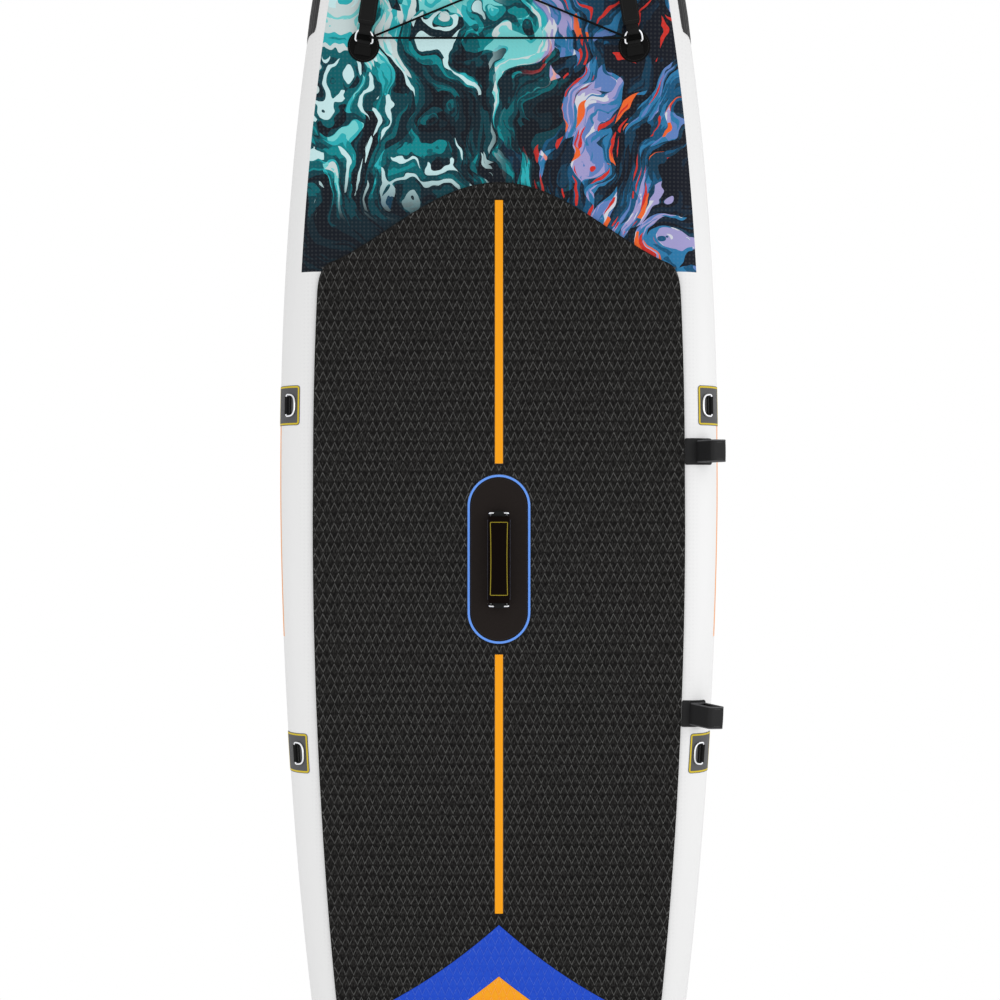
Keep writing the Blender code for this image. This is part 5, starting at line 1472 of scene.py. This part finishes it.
CARGO_X = 0.2507
CARGO_Y = 0.926
CARGO_RUN = 0.209
CARGO_LEAN = math.radians(10)
CARGO_PATCH_RADIUS = 0.0295
CARGO_RING = (0.032, 0.022)
CARGO_RING_TILT = math.radians(30)
CARGO_TAB_LENGTH = 0.0215
CARGO_BAR_OFFSET = 0.0066
CARGO_STRAP_WIDTH = 0.024
CARGO_EYE_WIDTH = 0.0215
CARGO_EYE_SHIFT = -0.0014
CARGO_DROP = -0.0007
CARGO_EYE = (0.0047, 0.0036)
CARGO_TAPER = (0.011, 0.005)
CARGO_SEAM_MIDDLE = 0.0165
CARGO_SEAM_BOX = (0.018, 0.010, 0.0005)
CARGO_SEAM_LIFT = 0.0016
CARGO_TURN = 0.013
CARGO_SLEEVE = (0.032, 0.010, 0.140)
CARGO_SLEEVE_ENDS = (0, 0.0010, 0.0025, 0.005, 0.009)
CARGO_SLEEVE_CORNER = 0.0035
CARGO_SLEEVE_NARROW = (0.80, 0.009)
CARGO_SLEEVE_CROWN = 0.0005
CARGO_SLEEVE_SEAMS = (0.0125, 0.010)
CARGO_SLEEVE_HEM = ((-0.013, -0.006, 0, 0.006, 0.013), 0.006)
SLEEVE_STITCH = (0.003, 0.0022, 0.00028)
CORD = 0.0020
CORD_HOOK = 0.0118
CORD_CLEAR = 0.0005
FERRULE = (0.020, 0.0014)

sleeve_cloth = grained(
    "sleeve_cloth", (21, 21, 21), 0.78, (1500, 2), (0.00012, 0.6), (36, 36, 36), specular=0.12
)

cargo_bars = {}
for side_name, side in SIDES.items():
    for row, end in (("rear", 1), ("front", -1)):
        forward = 0 if end == 1 else CARGO_RUN
        x = side * (CARGO_X - forward * math.tan(CARGO_LEAN))
        heading = (-side * end * math.sin(CARGO_LEAN), end * math.cos(CARGO_LEAN))
        place = deck_frame(x, CARGO_Y + forward, heading)
        label = f"{side_name}_{row}"
        sizes = (CARGO_PATCH_RADIUS, CARGO_RING[0], CARGO_TAB_LENGTH, CARGO_BAR_OFFSET)
        bar_place = ring_patch("cargo_" + label, place, *sizes, "cargo_patch_" + label)
        cargo_bars[side, end] = bar_place @ Matrix.Rotation(CARGO_RING_TILT, 4, "X")
        steel_ring("cargo_d_ring_" + label, d_path(*CARGO_RING), "cargo_ring_" + label, cargo_bars[side, end])

for side_name, side in SIDES.items():
    crests = [cargo_bars[side, end] @ Vector((0, CARGO_RING[1], 0)) for end in (1, -1)]
    along = (crests[1] - crests[0]).normalized()
    across = along.cross(UP).normalized()
    strap_place = board_frame(crests[0], along, across.cross(along))
    run = (crests[1] - crests[0]).length
    eye_reach, eye_rise = (value + STRAP_WEBBING / 2 for value in CARGO_EYE)
    near = [(y, CARGO_DROP - STRAP_LIFT) for y in spread(0.034, 0.016, 3)]
    for angle in range(-25, -340, -12):
        turn = math.radians(angle)
        near.append((CARGO_EYE_SHIFT + eye_reach * math.cos(turn), CARGO_DROP + eye_rise * math.sin(turn)))
    path = near + [(y, CARGO_DROP + STRAP_LIFT) for y in spread(CARGO_TURN, run - CARGO_TURN, 24)]
    path += [(run - y, z) for y, z in reversed(near)]
    strap = band(path, CARGO_STRAP_WIDTH, STRAP_WEBBING * TIGHT)
    taper_start, taper = CARGO_TAPER
    for v in strap.verts:
        share = min(1, max(0, (taper_start - min(v.co.y, run - v.co.y)) / taper))
        v.co.x *= 1 - (1 - CARGO_EYE_WIDTH / CARGO_STRAP_WIDTH) * share
    for middle in (CARGO_SEAM_MIDDLE, run - CARGO_SEAM_MIDDLE):
        box = rounded(*CARGO_SEAM_BOX, (0, middle), 1)
        stitches(strap, [(x, y, CARGO_DROP + CARGO_SEAM_LIFT) for x, y in box], BOX_STITCH, closed=True)
    cloths = [webbing, thread_grey]
    name = "cargo_webbing_" + side_name
    piece(name, strap, cloths, "cargo_strap_" + side_name, "board", 50, strap_place)
    width, height, length = CARGO_SLEEVE
    start = (run - length) / 2
    line = [(start + s, CARGO_DROP) for s in sleeve_stops(length, CARGO_SLEEVE_ENDS, 24)]
    shape = (width, height, CARGO_SLEEVE_CORNER, CARGO_SLEEVE_NARROW, CARGO_SLEEVE_CROWN)
    sleeve = padded_tube(line, *shape)
    level = CARGO_DROP + height / 2 - GAP
    xs, inset = CARGO_SLEEVE_HEM
    for y in (start + inset, start + length - inset):
        stitches(sleeve, [(x, y, level) for x in xs], SLEEVE_STITCH)
    across, inset = CARGO_SLEEVE_SEAMS
    for x in (-across, across):
        seam = [(x, y, level) for y in spread(start + inset, start + length - inset, 20)]
        stitches(sleeve, seam, EDGE_STITCH)
    cloths = [sleeve_cloth, thread_black]
    name = "cargo_pad_" + side_name
    made = piece(name, sleeve, cloths, "cargo_sleeve_" + side_name, "board", 50, strap_place)


def hook_points(side, end, from_above):
    """The cord's turn round the inner leg of one ring, from one strand to the other."""
    bar_place = cargo_bars[side, end]
    towards = 1 if (bar_place.to_3x3() @ Vector((1, 0, 0))).x * side < 0 else -1
    rest = (CORD_HOOK - RING_CORNER) / (CARGO_RING[1] - RING_CORNER)
    leg_x = CARGO_RING[0] / 2 * (1 - rest**RING_FULLNESS) ** (1 / RING_FULLNESS)
    reach = WIRE + CORD + CORD_CLEAR
    points = []
    for x, z in arc((leg_x, 0), reach, 90, 270, 16):
        points.append(bar_place @ Vector((towards * x, CORD_HOOK, z)))
    return points if from_above else points[::-1]


turns = [hook_points(*hook) for hook in ((1, -1, True), (-1, 1, False), (1, 1, True), (-1, -1, False))]
first, last = turns[0][0], turns[-1][-1]
middle = (first + last) / 2
corners = [middle] + between(middle, first, 30)
for turn, after in zip(turns, turns[1:]):
    corners += turn + between(turn[-1], after[0], 40)
corners += turns[-1] + between(last, middle, 30) + [middle]
smoothed = [(a + b * 2 + c) / 4 for a, b, c in zip(corners, corners[1:], corners[2:])]

braid = Surface("bungee_braid", (10, 10, 10), 0.72, specular=0.10)
around, along, _ = separate(braid.tree, braid.uv)
plait = (around * 2 + along).wave(0.0031) * (around * 2 - along).wave(0.0031)
braid.tint(plait.ramp(0.3, 0.8) * 0.6, (38, 38, 38))
braid.bump(plait, 0.0004, 0.8)
cord = wire([middle, *smoothed, middle], CORD, 12, closed=False)
piece("bungee_lashing", cord, [braid], "bungee_cord", smooth=60)

half, wall = FERRULE[0] / 2, FERRULE[1]
bore = CORD + 2 * GAP
outer = bore + wall
profile = [(bore, -half), (outer - wall * 0.3, -half), (outer, -half + 0.0006)]
for z in (-0.0055, 0.0055):
    profile += [(outer, z - 0.0018), (outer - wall / 2, z - 0.0008)]
    profile += [(outer - wall / 2, z + 0.0008), (outer, z + 0.0018)]
profile += [(outer, half - 0.0006), (outer - wall * 0.3, half), (bore, half)]
level = (first - last).normalized()
place = board_frame(middle, level.cross(UP).normalized(), level)
ferrule = turned(profile, 40, closed=True)
piece("crimped_ferrule", ferrule, [steel], "cord_ferrule", "board", 40, place)


# Paddle holders on the right rail
# Two loops of stiff coated cloth stand on base patches at the deck's edge. Their rims are bound
# with piping and sewn, and a paddle's shaft goes through them along the board.

HOLDERS = {
    "front": (0.177, Vector((0.0225, 0.0435)), Vector((0.0235, 0.0490))),
    "rear": (-0.316, Vector((0.0315, 0.0410)), Vector((0.0325, 0.0465))),
}
HOLDER_PATCH_LOW = 41
HOLDER_PATCH_PAD_GAP = 0.0008
HOLDER_PATCH_LENGTH = 0.050
HOLDER_PATCH_CORNERS = (0.003, 0.006, 0.006, 0.003)
HOLDER_PATCH = 0.0012
HOLDER_FOOT_ANGLES = (70.5, 46)
HOLDER_HALF = 0.0415 / 2
HOLDER_WALL = 0.0024
HOLDER_ROUND = 0.007
HOLDER_RIM = HOLDER_HALF - 0.001
HOLDER_SWELL = (
    *((-HOLDER_RIM, 0), (-HOLDER_HALF / 2, 0.0003), (0, 0.0004)),
    *((HOLDER_HALF / 2, 0.0003), (HOLDER_RIM, 0)),
)
HOLDER_PATCH_SEAM = 0.0026
HOLDER_SEAM = HOLDER_HALF - 0.0052
HOLDER_SEAM_START = 1.3
HOLDER_STITCH = (0.0038, 0.0028, 0.00028)
LOOP_STITCH = (0.0034, 0.0025, 0.0003)
BINDING = 0.0016

holder_cloth = grained(
    "holder_cloth", (20, 20, 21), 0.62, (1000, 2), (0.00014, 0.7), (40, 40, 41), specular=0.25
)
# The rim piping's grey is its own colour, lightened with painted highlight along the rims.
piping_grey_and_highlight = grained("holder_piping_and_highlight", (78, 78, 80), 0.55, (1600, 2), (0.00015, 0.7), specular=0.35)

for spot, (y, inner_wall, outer_wall) in HOLDERS.items():
    reach = RAIL - pad_inset(y - HOLDER_PATCH_LENGTH / 2) + HOLDER_PATCH_PAD_GAP
    high = math.degrees(math.acos(reach / (RAIL + GAP + HOLDER_PATCH)))
    width = math.radians(high - HOLDER_PATCH_LOW) * RAIL
    top = GAP + HOLDER_PATCH * TIGHT
    edge = rounded(width, HOLDER_PATCH_LENGTH, HOLDER_PATCH_CORNERS, steps=6)
    patch = slab([edge], GAP, top)
    cut_across(patch, 0, steps_over(width / 2, BEND_ROUND))
    seam = [(*p, top) for p in offset_loop(edge, HOLDER_PATCH_SEAM)]
    stitches(patch, seam, HOLDER_STITCH, closed=True)
    lay_on_rail(patch, y, (HOLDER_PATCH_LOW + high) / 2, 1)
    cloths = [holder_cloth, thread_black]
    name = "holder_base_" + spot
    piece(name, patch, cloths, "paddle_holder_patch_" + spot, smooth=40)

    foot = [Vector(p) for p in arc((0, 0), RAIL + GAP + HOLDER_PATCH + GAP, *HOLDER_FOOT_ANGLES, 14)]
    inner_top, outer_top = foot[0] + inner_wall, foot[-1] + outer_wall
    ceiling = (outer_top - inner_top).normalized() * HOLDER_ROUND
    outer_side = outer_top - outer_wall.normalized() * HOLDER_ROUND
    inner_side = inner_top - inner_wall.normalized() * HOLDER_ROUND
    edge = foot + between(foot[-1], outer_side, 6)
    edge += curve_between(outer_side, outer_top, outer_top - ceiling, 9)
    edge += curve_between(inner_top + ceiling, inner_top, inner_side, 9)
    edge += between(inner_side, foot[0], 6)
    shaft_loop = bmesh.new()
    shells = []
    for line in (edge, offset_loop(edge, HOLDER_WALL)):
        lines = [[(*p, z) for p in offset_loop(line, -swell)] for z, swell in HOLDER_SWELL]
        shells.append([loop(shaft_loop, points) for points in lines])
        wrap(shaft_loop, shells[-1])
    for k in (0, -1):
        wrap(shaft_loop, [shells[0][k], shells[1][k]])
    bmesh.ops.recalc_face_normals(shaft_loop, faces=shaft_loop.faces)
    for z in (BINDING - HOLDER_HALF, HOLDER_HALF - BINDING):
        edge_strand = [(*p, z) for p in offset_loop(edge, HOLDER_WALL / 2)]
        wire(edge_strand, BINDING, 10, bm=shaft_loop, index=1)
    u = place_along(y)
    along = (outline(u + 1e-3) - outline(u - 1e-3)).normalized()
    place = board_frame(rail_point(u, 0, -RAIL), UP, Vector((-along.x, -along.y, 0)))
    cloths = [holder_cloth, piping_grey_and_highlight]
    name = "shaft_loop_" + spot
    piece(name, shaft_loop, cloths, "paddle_holder_" + spot, "board", 40, place)
    seam = bmesh.new()
    lift = Vector((-ceiling.y, ceiling.x)).normalized() * 0.0001
    lift *= math.copysign(1, lift.y)
    inset = ceiling * HOLDER_SEAM_START
    ends = (outer_top - inset + lift, inner_top + inset + lift)
    for z in (HOLDER_SEAM, -HOLDER_SEAM):
        points = [(p.x, z, p.y) for p in (ends[0], ends[0].lerp(ends[1], 0.5), ends[1])]
        stitches(seam, points, LOOP_STITCH, 0)
    upright = place @ Matrix.Rotation(-math.pi / 2, 4, "X")
    piece("shaft_loop_stitching_" + spot, seam, [thread_grey], matrix=upright)


# Inflation valve
# A grey flanged body with a hub on four spokes in its bore, a stem in the hub, and a black cap
# that swings on a pin between two lugs.

VALVE_PLACE = deck_frame(0, VALVE_Y, (0, 1))
VALVE_BORE = 0.0150
VALVE_DEPTH = 0.024
VALVE_FLANGE = (0.0270, 0.0050)
VALVE_WEB = (0.010, 0.003)
VALVE_HUB = 0.0060
VALVE_SPOKE = 0.0045
VALVE_STEM = 0.0035
VALVE_MARKS = 24
VALVE_MARK = 0.0005
CAP = (0.0215, 0.0045)
CAP_PLUG = 0.003
HINGE = (0.0310, 0.0062)
HINGE_BARREL = 0.0026
HINGE_PIN = 0.0012
HINGE_BORE = 0.0015
HINGE_ARM = 0.008
HINGE_LUG = 0.003
LUG_LEVELS = (0.0008, 0.0030)
EDGE_ROUND = 0.0006


def rod(radius, reach, steps):
    """A round bar along Z that reaches as far down as up."""
    return turned([(0, -reach), (radius, -reach), (radius, reach), (0, reach)], steps)


valve_grey = grained("valve_grey", (104, 106, 110), 0.44, (1400, 2), (0.00006, 0.5))
flange, flange_top = VALVE_FLANGE
web_top, web_bottom = -VALVE_WEB[0], -sum(VALVE_WEB)
profile = [(VALVE_TUBE, GAP), (flange, GAP), (flange, 0.0012), (flange - EDGE_ROUND, 0.0017)]
profile += [(flange - 0.0050, flange_top - 0.0004), (flange - 0.0058, flange_top)]
profile += [(VALVE_BORE + EDGE_ROUND, flange_top), (VALVE_BORE, flange_top - EDGE_ROUND)]
profile += [(VALVE_BORE, -VALVE_DEPTH), (VALVE_TUBE, -VALVE_DEPTH)]
body = turned(profile, 72, closed=True)
inner = VALVE_STEM + GAP
hub = [(inner, web_top), (inner, web_bottom), (VALVE_HUB, web_bottom), (VALVE_HUB, web_top)]
add_mesh(body, turned(hub, 40, closed=True))
spoke_edge = rounded(VALVE_BORE - VALVE_HUB + 0.0010, VALVE_SPOKE, 0.0002, ((VALVE_BORE + VALVE_HUB) / 2, 0))
for k in range(4):
    add_mesh(body, slab([spoke_edge], web_bottom, web_top), Matrix.Rotation(math.pi * (k / 2 + 0.25), 4, "Z"))
hinge_y = HINGE[0]
lug_low, lug_high = LUG_LEVELS
lug = [(flange - 0.0035, lug_low), (hinge_y + HINGE_BARREL, lug_low), *arc(HINGE, HINGE_BARREL, 0, 180, 12)]
lug += [(hinge_y - HINGE_BARREL, lug_high), (flange - 0.0035, lug_high)]
lug_start = HINGE_ARM / 2 + GAP
add_mesh(body, slab([lug], lug_start, lug_start + HINGE_LUG, "X"))
add_mesh(body, slab([lug], -lug_start - HINGE_LUG, -lug_start, "X"))
hinge_axis = Matrix.Translation((0, *HINGE)) @ Matrix.Rotation(math.pi / 2, 4, "Y")
add_mesh(body, rod(HINGE_PIN, lug_start + HINGE_LUG / 2, 20), hinge_axis)
for turn in circle(VALVE_MARKS):
    out = Vector((math.cos(turn), math.sin(turn), 0))
    low, high = out * (flange - 0.0012) + UP * 0.0020, out * (flange - 0.0046) + UP * 0.0046
    wire([low, low.lerp(high, 0.5), high], VALVE_MARK, 6, closed=False, bm=body)
piece("valve_housing", body, [valve_grey], "valve_body", matrix=VALVE_PLACE)

cap, cap_height = CAP
plug = VALVE_BORE - EDGE_ROUND
cap_low = flange_top + GAP
cap_top = cap_low + cap_height
profile = [(0, cap_low - CAP_PLUG), (plug - 0.0004, cap_low - CAP_PLUG), (plug, cap_low - 0.0026)]
profile += [(plug, cap_low), (cap - 0.0004, cap_low), (cap, cap_low + 0.0004), (cap, cap_top - 0.0012)]
profile += [(cap - 0.0004, cap_top - 0.0004), (cap - 0.0012, cap_top), (cap - 0.0050, cap_top)]
profile += [(cap - 0.0058, cap_top - 0.0008), (0, cap_top - 0.0008)]
lid = turned(profile, 72)
add_mesh(lid, slab([rounded(0.006, 0.028, 0.003, steps=6)], cap_top - 0.0010, cap_top - 0.0001))
arm_low, arm_high = cap_low + 0.0004, cap_low + HINGE_BARREL
arm = [(cap - 0.002, arm_low), (hinge_y, arm_low), (hinge_y, arm_high), (cap - 0.002, arm_high)]
half = HINGE_ARM / 2
add_mesh(lid, slab([arm], -half, half, "X"))
barrel = [(HINGE_BORE, -half), (HINGE_BARREL, -half), (HINGE_BARREL, half), (HINGE_BORE, half)]
add_mesh(lid, turned(barrel, 28, closed=True), hinge_axis)
piece("valve_lid", lid, [plastic], "valve_cap", "valve_cap_body", matrix=VALVE_PLACE)

low = -VALVE_DEPTH - GAP
profile = [(0, -0.0033), (0.0046, -0.0033), (0.0052, -0.0036), (0.0056, -0.0045), (VALVE_STEM, -0.0047)]
plunger = turned(profile + [(VALVE_STEM, low)], 40)
seal = VALVE_BORE + 0.0010
disc = [(0, low), (seal, low), (seal, -VALVE_DEPTH - 0.0030), (0, -VALVE_DEPTH - 0.0036)]
add_mesh(plunger, turned(disc, 60))
piece("valve_plunger", plunger, [plastic], "valve_stem", "valve_stem_body", matrix=VALVE_PLACE)


# Fins and fin box
# A black centre fin slides in a box on the hull and is held by a screw. Two smaller fins stand
# beside it on oval bases, toed in a little. The box, the screw and the air chamber keep their
# CAD shapes and take a material here.

FIN_Y = TAIL_Y + 0.335
FIN_BOX_HEIGHT = 0.0215
FIN_SLOT = (0.0100, 0.0050)
FIN_TRACK = (0.0146, 0.0060, 0.0044)
FIN_TAB = (-0.075, 0.045)
FIN_PEG_INSET = 0.012
FIN_JOIN = 0.004
FIN_LUG = (0.099, 0.0030, 0.003)
FIN = (0.200, 0.160, 0.235, 0.0088)
SIDE_FIN = (0.112, 0.112, 0.090, 0.0060)
SIDE_FIN_SPOT = (0.165, TAIL_Y + 0.365)
SIDE_FIN_TOE = math.radians(3)
SIDE_FIN_BASE = (0.034, 0.150)
SIDE_FIN_BASE_TOP = -GAP - 0.0022
BLADE_SHARES = (
    *(0, 0.03, 0.07, 0.12, 0.18, 0.24, 0.3, 0.37, 0.44, 0.51, 0.58, 0.65),
    *(0.71, 0.77, 0.83, 0.88, 0.92, 0.95, 0.97, 0.983, 0.992, 0.997, 0.9995),
)
BLADE_TIP = 0.97
FOIL_STEPS = 14
HULL_REACH = 0.005

fin_black = grained("fin_plastic", (26, 26, 28), 0.36, (700, 3), (0.0001, 0.5), specular=0.45)
fin_black.tint(fin_black.grain(30, 3).ramp(0.5, 0.75) * 0.25, (48, 48, 52))
chamber_cloth = grained("chamber_cloth", (220, 221, 220), 0.7, (900, 2), (0.0001, 0.5))


def blade(depth, chord, rake, thickness, start):
    """A raked blade with a foil section, hanging from Z = -start, its tip rounded."""
    rows = []
    for share in BLADE_SHARES:
        lead = chord / 2 - rake * share**1.9
        width = chord * math.sqrt(1 - share**2.6)
        z = -start - (depth - start) * share * BLADE_TIP
        near = []
        for turn in spread(0, math.pi, FOIL_STEPS):
            c = 0.5 - 0.5 * math.cos(turn)
            bulge = min(1.0, 2.6 * math.sqrt(c) * (1 - c) * (1 - 0.28 * c) + 0.05)
            near.append((thickness * width / chord / 2 * bulge, lead - width * c, z))
        rows.append(near + [(-x, y, z) for x, y, z in reversed(near)])
    return strip(rows)


def block(width, start, end, low, high, radius=0.001):
    """A plate from start to end along Y, with rounded corners."""
    edge = rounded(width, end - start, radius, (0, (start + end) / 2), 4)
    return slab([edge], low, high)


slot_width, slot_roof = FIN_SLOT
track_width, track_depth, track_height = FIN_TRACK
tab_width = slot_width - 2 * GAP
track_low = -slot_roof - track_depth
tab_start, tab_end = FIN_TAB
lug_end, lug_height, lug_round = FIN_LUG
start = FIN_BOX_HEIGHT + GAP
fin = blade(FIN[0] + start, *FIN[1:], start)
add_mesh(fin, block(tab_width, tab_start, tab_end, -start - FIN_JOIN, -slot_roof - GAP))
peg = Matrix.Translation((0, tab_start + FIN_PEG_INSET, track_low + track_height / 2))
peg = peg @ Matrix.Rotation(math.pi / 2, 4, "Y")
add_mesh(fin, rod(track_height / 2 - GAP, track_width / 2 - GAP, 24), peg)
lug_top = track_low - GAP
add_mesh(fin, block(tab_width, tab_end - FIN_JOIN, lug_end, lug_top - lug_height, lug_top, lug_round))
place = deck_frame(0, FIN_Y, (0, 1), 0, HULL_REACH)
piece("large_fin", fin, [fin_black], "centre_fin", "centre_fin_body", 40, place)

x, y = SIDE_FIN_SPOT
for name, side in SIDES.items():
    heading = (-side * math.sin(SIDE_FIN_TOE), math.cos(SIDE_FIN_TOE))
    place = deck_frame(side * x, y, heading, 0, HULL_REACH)
    base = slab([stadium(*SIDE_FIN_BASE, 0, 30)], SIDE_FIN_BASE_TOP, -GAP)
    add_mesh(base, blade(*SIDE_FIN, -(SIDE_FIN_BASE_TOP - GAP) / 2))
    node = "side_fin_" + name
    piece("small_fin_" + name, base, [fin_black], node, "board", 40, place, 0.0005)

for name, surface in (("fin_box", plastic), ("fin_screw", steel), ("air_chamber", chamber_cloth)):
    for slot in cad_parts[name].material_slots:
        slot.material = surface.material


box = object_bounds()
